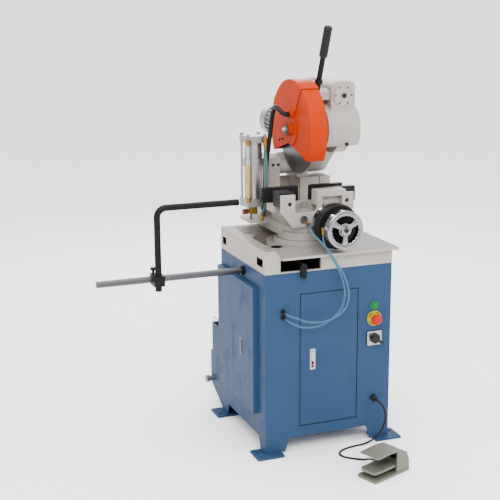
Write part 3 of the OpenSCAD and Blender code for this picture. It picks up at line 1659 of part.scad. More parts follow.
module foot_switch() {
  color(OLIVE)
    at_pedal()
      difference() {
        union() {
          solid_z([0, 10])
            rounded(pedal_l / 2 * [-1, 1], pedal_w / 2 * [-1, 1], 10);
          rotate([90, 0, 0])
            translate([0, 0, -pedal_w / 2 + 2])
              linear_extrude(pedal_w - 4)
                hood_outline();
          for (v = [-pedal_w / 2 + 2, pedal_w / 2 - 8])
            translate([0, v + 6, 0])
              rotate([90, 0, 0])
                linear_extrude(6)
                  polygon([[20, 8], [pedal_l / 2 - 10, 8], [pedal_l / 2 - 12, hood_h - 56],
                    [pedal_l / 2 - 26, hood_h - 26], [pedal_l / 2 - 54, hood_h - 9],
                    [26, hood_h - 8]]);
          rotate([90, 0, 0])
            translate([gland_u, gland_up, -pedal_w / 2 - 18])
              cylinder(r = 9, h = 20);
        }
        rotate([90, 0, 0])
          translate([gland_u, gland_up, -pedal_w / 2 - 19])
            cylinder(r = cord_r + fit, h = 18);
      }
  color(STEEL)
    at_pedal()
      rotate([90, 0, 0])
        translate([treadle_pin_u, treadle_z, -pedal_w / 2 + 4])
          cylinder(r = 4, h = pedal_w - 8);
}

module foot_treadle() {
  w = pedal_w - 18;
  color(OLIVE)
    at_pedal()
      difference() {
        union() {
          translate([0, 0, treadle_z - 6])
            linear_extrude(10)
              rounded([-pedal_l / 2 + 4, treadle_pin_u], w / 2 * [-1, 1], 16);
          rotate([90, 0, 0])
            translate([treadle_pin_u, treadle_z, -w / 2])
              cylinder(r = 9, h = w);
        }
        rotate([90, 0, 0])
          translate([treadle_pin_u, treadle_z, -w / 2 - 1])
            cylinder(r = 4 + fit, h = w + 2);
      }
}

// Free cord from the cabinet's gland to the foot switch
module foot_cord() {
  color(BLACK)
    tube(foot_cord_route, 2, cord_r, 8);
}

cabinet();
cabinet_legs();
foot_plates();
front_door();
door_pins();
front_latch_plate();
front_latch_handle();
latch_button();
side_door();
side_hinges();
side_latch();
control_rings();
start_button();
estop_plate();
estop_button();
selector_knob();
cord_gland();
air_bulkhead();
tray();
pedestal();
lock_lever();
turntable();
column();
pivot_shaft();
gear_housing();
head_covers();
spindle();
blade();
worm_shaft();
belt_drive();
belt_case();
motor();
blade_guard();
swing_guard();
handle_bar();
handle_grip();
coolant_hose();
oil_tank();
tank_caps();
sight_tube();
tank_fittings();
tank_bracket();
flow_knob();
feed_hoses();
vise_bed();
fixed_jaws();
moving_jaw();
jaw_plates();
piston_nose();
clamp_cylinder();
handwheel();
air_hoses();
stop_rod();
stop_clamp();
stop_arm();
coolant_tank();
chip_box();
foot_switch();
foot_treadle();
foot_cord();
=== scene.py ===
import math

import bmesh
import bpy
from mathutils import Matrix, Vector


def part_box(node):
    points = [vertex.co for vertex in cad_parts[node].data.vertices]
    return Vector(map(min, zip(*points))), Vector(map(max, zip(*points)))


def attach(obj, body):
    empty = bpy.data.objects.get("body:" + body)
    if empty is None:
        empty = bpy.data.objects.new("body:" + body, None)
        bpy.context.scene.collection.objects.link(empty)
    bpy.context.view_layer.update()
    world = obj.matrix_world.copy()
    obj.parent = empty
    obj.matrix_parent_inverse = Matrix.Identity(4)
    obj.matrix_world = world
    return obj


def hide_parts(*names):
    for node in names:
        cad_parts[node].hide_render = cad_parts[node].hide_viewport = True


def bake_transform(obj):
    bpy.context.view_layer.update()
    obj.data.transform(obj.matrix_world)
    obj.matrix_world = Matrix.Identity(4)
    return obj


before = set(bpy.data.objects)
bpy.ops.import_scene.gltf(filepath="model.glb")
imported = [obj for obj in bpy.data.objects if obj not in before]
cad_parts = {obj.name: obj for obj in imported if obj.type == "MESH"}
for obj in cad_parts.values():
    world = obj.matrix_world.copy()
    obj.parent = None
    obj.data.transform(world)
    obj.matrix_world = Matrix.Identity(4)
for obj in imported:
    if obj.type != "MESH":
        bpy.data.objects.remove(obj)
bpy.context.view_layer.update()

# The studio: a pale floor under soft boxes, with the camera at eye height off the front left
# corner, so that the front of the saw and the left flank of its cabinet both show.
eye_stand = (-1.655, -3.750, 1.712)
eye_turn, eye_dip, eye_roll = -20.85, 13.48, -0.36
camera = bpy.data.cameras.new("camera")
camera.lens = 77.2
camera.sensor_width = 36.0
camera.clip_end = 1000.0
eye = bpy.data.objects.new("camera", camera)
eye.matrix_world = (
    Matrix.Translation(eye_stand)
    @ Matrix.Rotation(math.radians(eye_turn), 4, "Z")
    @ Matrix.Rotation(math.radians(90.0 - eye_dip), 4, "X")
    @ Matrix.Rotation(math.radians(eye_roll), 4, "Z")
)
bpy.context.collection.objects.link(eye)
bpy.context.scene.camera = eye


def place(tree, kind, joins=None, **settings):
    node = tree.nodes.new("ShaderNode" + kind)
    for key, value in settings.items():
        setattr(node, key, value)
    for key, value in (joins or {}).items():
        if isinstance(value, bpy.types.NodeSocket):
            tree.links.new(value, node.inputs[key])
        else:
            node.inputs[key].default_value = value
    return node


def soft_box(name, power, size, stand, aim):
    lamp = bpy.data.lights.new(name, "AREA")
    lamp.energy = power
    lamp.shape = "RECTANGLE"
    lamp.size, lamp.size_y = size
    lamp_stand = bpy.data.objects.new(name, lamp)
    way = Vector(aim) - Vector(stand)
    lamp_stand.matrix_world = Matrix.Translation(stand) @ way.to_track_quat("-Z", "Y").to_matrix().to_4x4()
    bpy.context.collection.objects.link(lamp_stand)


soft_box("key_light", power=170.0, size=(2.4, 1.6), stand=(-1.3, -3.2, 3.2), aim=(0.0, 0.0, 0.8))
soft_box("top_light", power=110.0, size=(2.6, 2.6), stand=(0.2, 0.2, 4.2), aim=(0.0, 0.0, 1.0))
soft_box("side_light", power=40.0, size=(1.2, 2.4), stand=(2.9, -1.8, 1.6), aim=(0.0, 0.0, 0.9))
soft_box("back_light", power=80.0, size=(2.4, 1.2), stand=(0.6, 3.4, 2.6), aim=(0.0, 0.0, 1.0))
sky = bpy.data.worlds.new("studio")
sky.use_nodes = True
backdrop = sky.node_tree.nodes["Background"].inputs
backdrop["Color"].default_value = (1.0, 1.0, 1.0, 1.0)
height = place(sky.node_tree, "TexCoord").outputs["Generated"]
height = place(sky.node_tree, "SeparateXYZ", {0: height}).outputs["Z"]
ceiling = {"Value": height, "From Min": 0.02, "From Max": 0.42, "To Min": 0.22, "To Max": 2.3}
glow = place(sky.node_tree, "MapRange", ceiling, interpolation_type="SMOOTHSTEP").outputs["Result"]
sky.node_tree.links.new(glow, backdrop["Strength"])
bpy.context.scene.world = sky

floor_reach = 400.0
sweep = bmesh.new()
bmesh.ops.create_grid(sweep, x_segments=1, y_segments=1, size=floor_reach)
floor_mesh = bpy.data.meshes.new("floor")
sweep.to_mesh(floor_mesh)
sweep.free()
floor = bpy.data.objects.new("floor", floor_mesh)
bpy.context.collection.objects.link(floor)
paper = bpy.data.materials.new("studio_paper")
paper.use_nodes = True
paper_skin = paper.node_tree.nodes["Principled BSDF"].inputs
paper_skin["Base Color"].default_value = (0.97, 0.97, 0.97, 1.0)
paper_skin["Roughness"].default_value = 0.9
floor.data.materials.append(paper)

# The cabinet: a folded and welded sheet-steel box on four angle legs with foot plates,
# sprayed slate blue. The paint has a fine orange peel, runs of coolant and rubbed edges.


def cloud(tree, where, size, detail=2.0):
    joins = {"Vector": where, "Scale": 1.0 / size, "Detail": detail}
    return place(tree, "TexNoise", joins).outputs["Fac"]


def between(tree, value, low, high, start=0.0, stop=1.0):
    joins = {"Value": value, "From Min": low, "From Max": high, "To Min": start, "To Max": stop}
    return place(tree, "MapRange", joins).outputs["Result"]


def times(tree, a, b):
    return place(tree, "Math", {0: a, 1: b}, operation="MULTIPLY").outputs[0]


def plus(tree, a, b):
    return place(tree, "Math", {0: a, 1: b}, operation="ADD").outputs[0]


def stretched(tree, where, shares):
    return place(tree, "VectorMath", {0: where, 1: shares}, operation="MULTIPLY").outputs[0]


def laid_over(tree, mask, under, over):
    return place(tree, "Mix", {0: mask, 6: under, 7: over}, data_type="RGBA").outputs[2]


def toned(tree, colour, value):
    return place(tree, "HueSaturation", {"Color": colour, "Value": value}).outputs["Color"]


def effect(name, takes, gives):
    group = bpy.data.node_groups.new(name, "ShaderNodeTree")
    for label, kind in takes:
        group.interface.new_socket(label, in_out="INPUT", socket_type="NodeSocket" + kind)
    for label, kind in gives:
        group.interface.new_socket(label, in_out="OUTPUT", socket_type="NodeSocket" + kind)
    return group, group.nodes.new("NodeGroupInput").outputs, group.nodes.new("NodeGroupOutput").inputs


ENAMEL = [("Vector", "Vector"), ("Paint", "Color"), ("Soil", "Color"), ("Soiling", "Float"), ("Gloss", "Float")]
SKIN = [("Color", "Color"), ("Roughness", "Float"), ("Height", "Float")]

sprayed, takes, gives = effect("sprayed_enamel", ENAMEL, SKIN)
drift = between(sprayed, cloud(sprayed, takes["Vector"], 0.28, 4.0), 0.3, 0.7, 0.93, 1.06)
drawn = stretched(sprayed, takes["Vector"], (1.0, 1.0, 0.07))
runs = between(sprayed, cloud(sprayed, drawn, 0.022, 3.0), 0.56, 0.78)
specks = between(sprayed, cloud(sprayed, takes["Vector"], 0.0042, 1.0), 0.69, 0.76)
patches = between(sprayed, cloud(sprayed, takes["Vector"], 0.09, 5.0), 0.52, 0.72)
marks = plus(sprayed, times(sprayed, runs, 0.7), times(sprayed, specks, patches))
soil = times(sprayed, marks, takes["Soiling"])
paint = toned(sprayed, takes["Paint"], drift)
sprayed.links.new(laid_over(sprayed, soil, paint, takes["Soil"]), gives["Color"])
dull = plus(sprayed, times(sprayed, patches, 0.16), times(sprayed, soil, 0.2))
sprayed.links.new(plus(sprayed, takes["Gloss"], dull), gives["Roughness"])
peel = times(sprayed, cloud(sprayed, takes["Vector"], 0.0026, 1.0), 0.5)
waves = times(sprayed, cloud(sprayed, takes["Vector"], 0.06, 1.0), 0.9)
sprayed.links.new(plus(sprayed, peel, waves), gives["Height"])

rubbed, takes, gives = effect(
    "rubbed_edges",
    [("Vector", "Vector"), ("Radius", "Float"), ("Rub", "Float")],
    [("Mask", "Float"), ("Normal", "Vector")],
)
rounded = place(rubbed, "Bevel", {"Radius": takes["Radius"]}, samples=4).outputs[0]
square = place(rubbed, "NewGeometry").outputs["Normal"]
facing = place(rubbed, "VectorMath", {0: rounded, 1: square}, operation="DOT_PRODUCT").outputs["Value"]
corner = between(rubbed, facing, 0.985, 0.86)
chipped = between(rubbed, cloud(rubbed, takes["Vector"], 0.012, 5.0), 0.5, 0.62)
rubbed.links.new(times(rubbed, times(rubbed, corner, chipped), takes["Rub"]), gives["Mask"])
rubbed.links.new(rounded, gives["Normal"])


def coat(
    name, group, values, relief=0.0002, edge=0.0016, bare=None, rub=0.0, middle=None, turn=None, plain=None
):
    finish = bpy.data.materials.new(name)
    finish.use_nodes = True
    tree = finish.node_tree
    shader = tree.nodes["Principled BSDF"]
    where = place(tree, "TexCoord").outputs["Object"]
    spot = where
    if middle or turn:
        unmoved = (0.0, 0.0, 0.0)
        joins = {"Vector": where, "Location": middle or unmoved, "Rotation": turn or unmoved}
        spot = place(tree, "Mapping", joins).outputs[0]
    skin = place(tree, "Group", node_tree=group)
    tree.links.new(spot, skin.inputs["Vector"])
    for key, value in values.items():
        skin.inputs[key].default_value = value
    worn = place(tree, "Group", node_tree=rubbed)
    tree.links.new(where, worn.inputs["Vector"])
    worn.inputs["Radius"].default_value = edge
    worn.inputs["Rub"].default_value = rub
    colour = skin.outputs["Color"]
    if bare:
        colour = laid_over(tree, worn.outputs["Mask"], colour, bare)
    bump = place(tree, "Bump", {"Height": skin.outputs["Height"], "Distance": relief, "Strength": 1.0})
    tree.links.new(worn.outputs["Normal"], bump.inputs["Normal"])
    tree.links.new(colour, shader.inputs["Base Color"])
    tree.links.new(skin.outputs["Roughness"], shader.inputs["Roughness"])
    tree.links.new(bump.outputs["Normal"], shader.inputs["Normal"])
    for key, value in (plain or {}).items():
        shader.inputs[key].default_value = value
    return finish


def sheen(level):
    return {"Specular IOR Level": level}


def dress(finish, *nodes):
    for node in nodes:
        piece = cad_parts[node]
        piece.data.materials.clear()
        piece.data.materials.append(finish)


def dress_part(finish, node, here):
    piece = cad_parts[node]
    slot = len(piece.data.materials)
    piece.data.materials.append(finish)
    for face in piece.data.polygons:
        if here(face.center, face.normal):
            face.material_index = slot


cabinet_blue = coat(
    "cabinet_blue",
    sprayed,
    {"Paint": (0.0165, 0.0415, 0.0930, 1), "Soil": (0.010, 0.018, 0.032, 1), "Soiling": 0.35, "Gloss": 0.5},
    relief=0.00035,
    bare=(0.045, 0.085, 0.14, 1),
    rub=0.7,
    plain=sheen(0.12),
)
dress(cabinet_blue, "cabinet", "cabinet_legs", "foot_plates")

# The front door: a folded blue pan that swings on two steel pins and shuts with a plated
# rotary latch, whose red button lets the handle spring out.
turned, takes, gives = effect(
    "turned_metal",
    [("Vector", "Vector"), ("Metal", "Color"), ("Stain", "Color"), ("Staining", "Float"), ("Gloss", "Float")],
    SKIN,
)
axes = place(turned, "SeparateXYZ", {0: takes["Vector"]}).outputs
out = times(turned, axes["X"], axes["X"])
out = place(turned, "Math", {0: axes["Y"], 1: axes["Y"], 2: out}, operation="MULTIPLY_ADD").outputs[0]
out = place(turned, "Math", {0: out}, operation="SQRT").outputs[0]
ringed = place(turned, "CombineXYZ", {"X": out, "Y": 0.0, "Z": axes["Z"]}).outputs[0]
lathe = cloud(turned, ringed, 0.0011, 2.0)
film = between(turned, cloud(turned, takes["Vector"], 0.035, 5.0), 0.48, 0.72)
stain = times(turned, film, takes["Staining"])
metal = toned(turned, takes["Metal"], between(turned, lathe, 0.3, 0.7, 0.94, 1.05))
turned.links.new(laid_over(turned, stain, metal, takes["Stain"]), gives["Color"])
dull = plus(turned, times(turned, film, 0.14), times(turned, lathe, 0.08))
turned.links.new(plus(turned, takes["Gloss"], dull), gives["Roughness"])
turned.links.new(plus(turned, times(turned, lathe, 0.6), times(turned, film, 0.1)), gives["Height"])


def metal_coat(name, colour, gloss, staining, middle=None, turn=None, stain=(0.12, 0.11, 0.10, 1)):
    values = {"Metal": colour, "Stain": stain, "Staining": staining, "Gloss": gloss}
    bright = {"Metallic": 1.0}
    return coat(name, turned, values, relief=0.00004, edge=0.0009, middle=middle, turn=turn, plain=bright)


moulded, takes, gives = effect(
    "moulded_plastic",
    [("Vector", "Vector"), ("Plastic", "Color"), ("Scuff", "Color"), ("Gloss", "Float")],
    SKIN,
)
grain = cloud(moulded, takes["Vector"], 0.0013, 1.0)
handled = between(moulded, cloud(moulded, takes["Vector"], 0.02, 5.0), 0.5, 0.74)
scratch_way = stretched(moulded, takes["Vector"], (1.0, 0.12, 0.5))
scratches = between(moulded, cloud(moulded, scratch_way, 0.0016, 2.0), 0.7, 0.78)
scuffs = times(moulded, plus(moulded, times(moulded, handled, 0.25), times(moulded, scratches, 0.35)), 0.7)
moulded.links.new(laid_over(moulded, scuffs, takes["Plastic"], takes["Scuff"]), gives["Color"])
moulded.links.new(plus(moulded, takes["Gloss"], times(moulded, handled, 0.2)), gives["Roughness"])
moulded.links.new(grain, gives["Height"])


def plastic_coat(name, colour, scuff, gloss, relief=0.00012, plain=None):
    values = {"Plastic": colour, "Scuff": scuff, "Gloss": gloss}
    return coat(name, moulded, values, relief=relief, edge=0.0008, plain=plain)


latch_red = plastic_coat("latch_red", (0.26, 0.005, 0.007, 1), (0.32, 0.05, 0.045, 1), 0.28)
latch_chrome = metal_coat("latch_chrome", (0.34, 0.345, 0.355, 1), 0.16, 0.2)
pin_steel = metal_coat("pin_steel", (0.26, 0.26, 0.265, 1), 0.3, 0.5, stain=(0.06, 0.055, 0.05, 1))
dress(cabinet_blue, "front_door")
dress(pin_steel, "door_pins")
dress(latch_chrome, "front_latch_plate", "front_latch_handle")
dress(latch_red, "latch_button")

# The side door: a larger blue pan over the machine bay on the left flank, on two lift-off
# steel hinges, with a quarter-turn plated latch coloured far darker than the front latch as painted shade.
side_latch_painted_shade = metal_coat("side_latch_painted_shade", (0.130, 0.122, 0.132, 1), 0.34, 0.4)
dress(cabinet_blue, "side_door")
dress(pin_steel, "side_hinges")
dress(side_latch_painted_shade, "side_latch")

# The controls: a green start button in a green bezel, a red mushroom stop on a yellow plate and
# a black three-way selector on a steel plate edged by a black backing as painted shade, all screwed through the
# sheet.
start_green = plastic_coat(
    "start_green", (0.0012, 0.120, 0.026, 1), (0.010, 0.15, 0.05, 1), 0.26, plain=sheen(0.14)
)
stop_red = plastic_coat("stop_red", (0.36, 0.0060, 0.0020, 1), (0.36, 0.020, 0.010, 1), 0.24, plain=sheen(0.14))
stop_yellow = plastic_coat(
    "stop_yellow", (0.36, 0.250, 0.0010, 1), (0.27, 0.19, 0.010, 1), 0.4, plain=sheen(0.14)
)
knob_black = plastic_coat(
    "knob_black", (0.007, 0.007, 0.008, 1), (0.030, 0.030, 0.031, 1), 0.4, plain=sheen(0.22)
)
ring_steel = metal_coat("ring_steel", (0.32, 0.325, 0.335, 1), 0.24, 0.25)
start_bezel_foot = 0.5
dress(ring_steel, "control_rings")
dress_part(start_green, "control_rings", lambda c, n: c.z > start_bezel_foot)
dress(start_green, "start_button")
dress(stop_red, "estop_button")
dress(stop_yellow, "estop_plate")
dress(knob_black, "selector_knob")


def aimed(spot, way):
    return Matrix.Translation(spot) @ Vector(way).to_track_quat("Z", "Y").to_matrix().to_4x4()


def block(shape, size, stand):
    return bmesh.ops.create_cube(shape, size=1.0, matrix=stand @ Matrix.Diagonal((*size, 1)))["verts"]


def edges_of(verts):
    return list({edge for vert in verts for edge in vert.link_edges})


def ease(shape, edges, width, segments):
    bmesh.ops.bevel(
        shape, geom=edges, offset=width, affect="EDGES", segments=segments, profile=0.5, material=-1
    )


def finished(name, shape, finish, body):
    bmesh.ops.recalc_face_normals(shape, faces=shape.faces)
    mesh = bpy.data.meshes.new(name)
    shape.to_mesh(mesh)
    shape.free()
    mesh.materials.append(finish)
    piece = bpy.data.objects.new(name, mesh)
    bpy.context.collection.objects.link(piece)
    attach(piece, body)


panel_y = -0.240
to_front = (0, -1, 0)
stop_middle, stop_plate_thick = (0.189, 0.497), 0.0030
mark_inner, mark_outer, mark_rise = 0.0225, 0.0255, 0.0004
mark_start, mark_sweep = 20, 56
shape = bmesh.new()
for step in range(4):
    mark_turn = Matrix.Rotation(math.radians(mark_start + 90 * step), 4, "Z")
    ends = ((mark_inner, 0.0), (mark_outer, 0.0), (mark_outer, mark_rise), (mark_inner, mark_rise))
    corners = [shape.verts.new(mark_turn @ Vector((across, 0.0, along))) for across, along in ends]
    mark = shape.faces.new(corners)
    bmesh.ops.spin(
        shape, geom=[mark], axis=(0, 0, 1), cent=(0, 0, 0), angle=math.radians(mark_sweep), steps=14
    )
on_plate = aimed((stop_middle[0], panel_y - stop_plate_thick, stop_middle[1]), to_front)
bmesh.ops.transform(shape, matrix=on_plate, verts=shape.verts)
finished("stop_marks", shape, knob_black, "base")

# The selector backing: a black plate a little larger than the steel plate, whose rim shows as a dark border
# that is painted shade for the plate's edge; the three tick marks of the dial stand on it.
selector_middle, selector_plate = (0.191, 0.418), (0.0665, 0.0030, 0.0605)
dial_face, dial_rest = 0.0041, 36
tick_size, tick_out = (0.0065, 0.0012, 0.0004), 0.0255
shape = bmesh.new()
on_panel = Matrix.Translation((selector_middle[0], panel_y - selector_plate[1] / 2, selector_middle[1]))
ease(shape, edges_of(block(shape, selector_plate, on_panel)), 0.0008, 2)
dial = aimed((selector_middle[0], panel_y - dial_face, selector_middle[1]), to_front)
for tick in (-45, 0, 45):
    tick_turn = Matrix.Rotation(math.radians(tick - dial_rest), 4, "Z")
    block(shape, tick_size, dial @ tick_turn @ Matrix.Translation((tick_out, 0, 0)))
finished("selector_shade_backing", shape, knob_black, "base")

# The door trim: thin black strips along the rim of the front opening, drawn to give the dark line
# around the door.
trim_black = plastic_coat(
    "trim_black", (0.006, 0.006, 0.0065, 1), (0.020, 0.020, 0.019, 1), 0.6, plain=sheen(0.2)
)
opening_half, opening_low, opening_high = 0.119, 0.103, 0.624
trim_wide, trim_deep = 0.0020, 0.0014
trim_out, trim_tall = opening_half + trim_wide / 2, opening_high - opening_low + 2 * trim_wide
opening_middle = (opening_low + opening_high) / 2
shape = bmesh.new()
for across, up, wide, tall in (
    (-trim_out, opening_middle, trim_wide, trim_tall),
    (trim_out, opening_middle, trim_wide, trim_tall),
    (0.0, opening_low - trim_wide / 2, 2 * opening_half, trim_wide),
    (0.0, opening_high + trim_wide / 2, 2 * opening_half, trim_wide),
):
    block(shape, (wide, trim_deep, tall), Matrix.Translation((across, panel_y, up)))
finished("door_trim", shape, trim_black, "base")

# The gland and the air bulkheads: black moulded fittings screwed into the front sheet, for the
# foot-switch cord at the bottom right and the two air tubes at the top left.
dress(knob_black, "cord_gland", "air_bulkhead")

# The tray and the pedestal: one grey-enamelled pan with a chip well sits on the cabinet and
# catches the coolant, around the cast pedestal that carries the turntable.
cast, takes, gives = effect("enamelled_casting", ENAMEL, SKIN)
sand = cloud(cast, takes["Vector"], 0.0038, 3.0)
swell = cloud(cast, takes["Vector"], 0.045, 3.0)
drift = between(cast, cloud(cast, takes["Vector"], 0.2, 4.0), 0.3, 0.7, 0.92, 1.06)
oil = between(cast, cloud(cast, takes["Vector"], 0.055, 6.0), 0.56, 0.8)
grit = between(cast, cloud(cast, takes["Vector"], 0.0034, 1.0), 0.68, 0.77)
soil = times(cast, plus(cast, times(cast, oil, 0.75), times(cast, grit, 0.5)), takes["Soiling"])
cast.links.new(laid_over(cast, soil, toned(cast, takes["Paint"], drift), takes["Soil"]), gives["Color"])
dull = plus(cast, times(cast, swell, 0.12), times(cast, oil, -0.1))
cast.links.new(plus(cast, takes["Gloss"], dull), gives["Roughness"])
cast.links.new(plus(cast, times(cast, sand, 0.55), times(cast, swell, 0.9)), gives["Height"])
cast_grey = coat(
    "cast_grey",
    cast,
    {"Paint": (0.300, 0.266, 0.236, 1), "Soil": (0.105, 0.088, 0.070, 1), "Soiling": 0.38, "Gloss": 0.4},
    relief=0.0007,
    edge=0.0026,
    bare=(0.36, 0.33, 0.30, 1),
    rub=0.4,
)
# A darker, glossier enamel for the upward faces of the tray.
dark_top_enamel = coat(
    "dark_top_enamel",
    cast,
    {"Paint": (0.190, 0.172, 0.150, 1), "Soil": (0.050, 0.045, 0.036, 1), "Soiling": 0.75, "Gloss": 0.16},
    relief=0.0005,
    edge=0.0026,
    bare=(0.30, 0.28, 0.25, 1),
    rub=0.4,
)
# A near-black finish laid on the walls of the tray's hand hole and side slot, as painted shade inside these
# openings.
painted_shade_hollow = plastic_coat(
    "painted_shade_hollow", (0.006, 0.006, 0.006, 1), (0.015, 0.014, 0.012, 1), 0.7, plain=sheen(0.1)
)
hand_hole, hand_hole_reach = (-0.152, -0.086), 0.0235
slot_x, slot_y, slot_z = (-0.2598, -0.2), (-0.2175, 0.2185), (0.7325, 0.7635)


def near(a, b, middle, reach):
    return math.hypot(a - middle[0], b - middle[1]) < reach


def in_side_slot(c, n):
    inside = slot_x[0] < c.x < slot_x[1] and slot_y[0] < c.y < slot_y[1] and slot_z[0] < c.z < slot_z[1]
    return inside and abs(n.x) < 0.5


dress(cast_grey, "tray", "pedestal")
dress_part(dark_top_enamel, "tray", lambda c, n: n.z > 0.9)
# The walls of the hand hole and the side slot get the near-black painted shade.
dress_part(painted_shade_hollow, "tray", lambda c, n: near(c.x, c.y, hand_hole, hand_hole_reach) and abs(n.z) < 0.5)
dress_part(painted_shade_hollow, "tray", in_side_slot)

# The lock lever: a flat steel bar that runs from the swivel's clamp post out through the front
# opening of the tray, ending in a round boss with a finger tongue, all painted satin black.
satin_black = coat(
    "satin_black",
    sprayed,
    {"Paint": (0.0030, 0.0030, 0.0036, 1), "Soil": (0.013, 0.012, 0.011, 1), "Soiling": 0.3, "Gloss": 0.42},
    relief=0.0002,
    bare=(0.05, 0.05, 0.05, 1),
    rub=0.5,
    plain=sheen(0.13),
)
dress(satin_black, "lock_lever")

# The turntable and column: enamelled castings, the drum with its mitre scale turning in the
# pedestal and the two cheeks carrying the ground pivot shaft on which the whole head tips.
pivot_y, pivot_z = 0.240, 1.035
along_x = (0, math.pi / 2, 0)
shaft_steel = metal_coat(
    "shaft_steel", (0.28, 0.28, 0.29, 1), 0.22, 0.4, middle=(0, -pivot_y, -pivot_z), turn=along_x
)
screw_black = metal_coat("screw_black", (0.030, 0.030, 0.032, 1), 0.3, 0.4, stain=(0.06, 0.045, 0.03, 1))
dress(cast_grey, "turntable", "column")
dress(shaft_steel, "pivot_shaft")


def screw_head(shape, spot, way, radius, height):
    stand = aimed(spot, way) @ Matrix.Translation((0, 0, height / 2))
    shank = {"cap_ends": True, "segments": 24, "radius1": radius, "radius2": radius, "depth": height}
    head = bmesh.ops.create_cone(shape, matrix=stand, **shank)["verts"]
    faces = {face for vert in head for face in vert.link_faces}
    top = max(faces, key=lambda face: face.calc_center_median().dot(Vector(way)))
    chamfer, rim = (radius * 0.14, radius * 0.16), (radius * 0.36, 0.0)
    socket = (radius * 0.03, -height * 0.7)
    for inset, rise in (chamfer, rim, socket):
        bmesh.ops.inset_individual(shape, faces=[top], thickness=inset, depth=rise)


cheek_face, cheek_bolt_z = 0.1601, 1.0475
shape = bmesh.new()
for bolt_x in (-0.066, -0.044):
    screw_head(shape, (bolt_x, cheek_face, cheek_bolt_z), to_front, radius=0.0055, height=0.0055)
finished("cheek_bolts", shape, screw_black, "turntable")

drum_radius, scale_foot, scale_rise = 0.104, 0.8180, 0.0005
tens, fives, ones = (0.013, 0.0009), (0.009, 0.0009), (0.005, 0.0004)
shape = bmesh.new()
for degree in range(-75, 76):
    tall, wide = tens if degree % 10 == 0 else fives if degree % 5 == 0 else ones
    around = Matrix.Rotation(math.radians(degree), 4, "Z")
    on_drum = Matrix.Translation((0, -drum_radius, scale_foot + tall / 2))
    block(shape, (wide, scale_rise, tall), around @ on_drum)
finished("mitre_scale", shape, knob_black, "turntable")

# The gear case: a two-part enamelled casting with the worm tunnel across its top, closed by
# turned covers that are held with socket screws.
dress(cast_grey, "gear_housing", "head_covers", "belt_case")


def on_ring(middle, radius, count):
    for step in range(count):
        angle = math.tau * step / count
        yield middle[0] + radius * math.cos(angle), middle[1] + radius * math.sin(angle)


to_right = (1, 0, 0)
spindle_y, spindle_z = 0.072, 1.197
worm_cover, worm_face, worm_ring = (0.161, 1.327), -0.0042, 0.034
side_cover, side_face, side_ring = (spindle_y, spindle_z), 0.2242, 0.056
shape = bmesh.new()
for x, z in on_ring(worm_cover, worm_ring, 6):
    screw_head(shape, (x, worm_face, z), to_front, radius=0.0031, height=0.0020)
for y, z in on_ring(side_cover, side_ring, 8):
    screw_head(shape, (side_face, y, z), to_right, radius=0.0031, height=0.0024)
finished("cover_screws", shape, screw_black, "head")

filler_face = -0.0079
drain_x, drain_out, drain_fall = 0.174, 0.0995, math.radians(35)
drain_way = (0.0, -math.cos(drain_fall), -math.sin(drain_fall))
drain_spot = (drain_x, spindle_y + drain_out * drain_way[1], spindle_z + drain_out * drain_way[2])
shape = bmesh.new()
screw_head(shape, (worm_cover[0], filler_face, worm_cover[1]), to_front, radius=0.0095, height=0.0045)
screw_head(shape, drain_spot, drain_way, radius=0.0075, height=0.0060)
finished("oil_plugs", shape, screw_black, "head")

# The drive: a finned aluminium motor turns the worm through a belt, and the worm turns the wheel
# on the spindle that carries the blade, a ground steel disc with ninety teeth.
motor_alloy = coat(
    "motor_alloy",
    cast,
    {"Paint": (0.30, 0.30, 0.31, 1), "Soil": (0.08, 0.075, 0.07, 1), "Soiling": 0.5, "Gloss": 0.38},
    relief=0.0006,
    plain={"Metallic": 0.75},
)
blade_steel = metal_coat(
    "blade_steel",
    (0.150, 0.154, 0.165, 1),
    0.28,
    0.3,
    middle=(0, -spindle_y, -spindle_z),
    turn=along_x,
    stain=(0.070, 0.064, 0.056, 1),
)
dress(motor_alloy, "motor")
dress(blade_steel, "blade", "spindle")
dress(shaft_steel, "worm_shaft", "belt_drive")

# The guards: pressed and welded steel shells in gloss orange. The fixed one is bolted to the
# gear case, and the lower one folds up inside it as the head comes down.
guard_orange = coat(
    "guard_orange",
    sprayed,
    {"Paint": (0.350, 0.0225, 0.0001, 1), "Soil": (0.085, 0.007, 0.0005, 1), "Soiling": 0.3, "Gloss": 0.34},
    relief=0.0005,
    edge=0.0022,
    bare=(0.37, 0.032, 0.004, 1),
    rub=0.5,
    plain=sheen(0.03),
)
dress(guard_orange, "blade_guard", "swing_guard")


def spun(shape, geom, steps):
    bmesh.ops.spin(
        shape, geom=geom, axis=(0, 0, 1), cent=(0, 0, 0), angle=math.tau, steps=steps, use_merge=True
    )


def hoop(shape, spot, way, inner, outer, width):
    before = set(shape.verts)
    ends = ((inner, -width / 2), (outer, -width / 2), (outer, width / 2), (inner, width / 2))
    corners = [shape.verts.new((across, 0.0, along)) for across, along in ends]
    edges = [shape.edges.new(pair) for pair in zip(corners, corners[1:] + corners[:1])]
    spun(shape, corners + edges, 40)
    fresh = [vert for vert in shape.verts if vert not in before]
    bmesh.ops.transform(shape, matrix=aimed(spot, way), verts=fresh)


def off_hub(out):
    hub_face = -0.046
    return (hub_face - out, spindle_y, spindle_z)


to_left = (-1, 0, 0)
shape = bmesh.new()
hoop(shape, off_hub(0.0016), to_left, inner=0.0070, outer=0.0135, width=0.0020)
nut_sizes = {"cap_ends": True, "segments": 6, "radius1": 0.0105, "radius2": 0.0105, "depth": 0.0080}
nut = bmesh.ops.create_cone(shape, matrix=aimed(off_hub(0.0062), to_left), **nut_sizes)["verts"]
rims = [edge for edge in edges_of(nut) if abs((edge.verts[0].co - edge.verts[1].co).x) < 1e-6]
ease(shape, rims, 0.0012, 2)
stud_end = Matrix.Translation(off_hub(0.0100))
bmesh.ops.create_uvsphere(shape, u_segments=28, v_segments=14, radius=0.0078, matrix=stud_end)
finished("guard_hub_nut", shape, latch_chrome, "head")

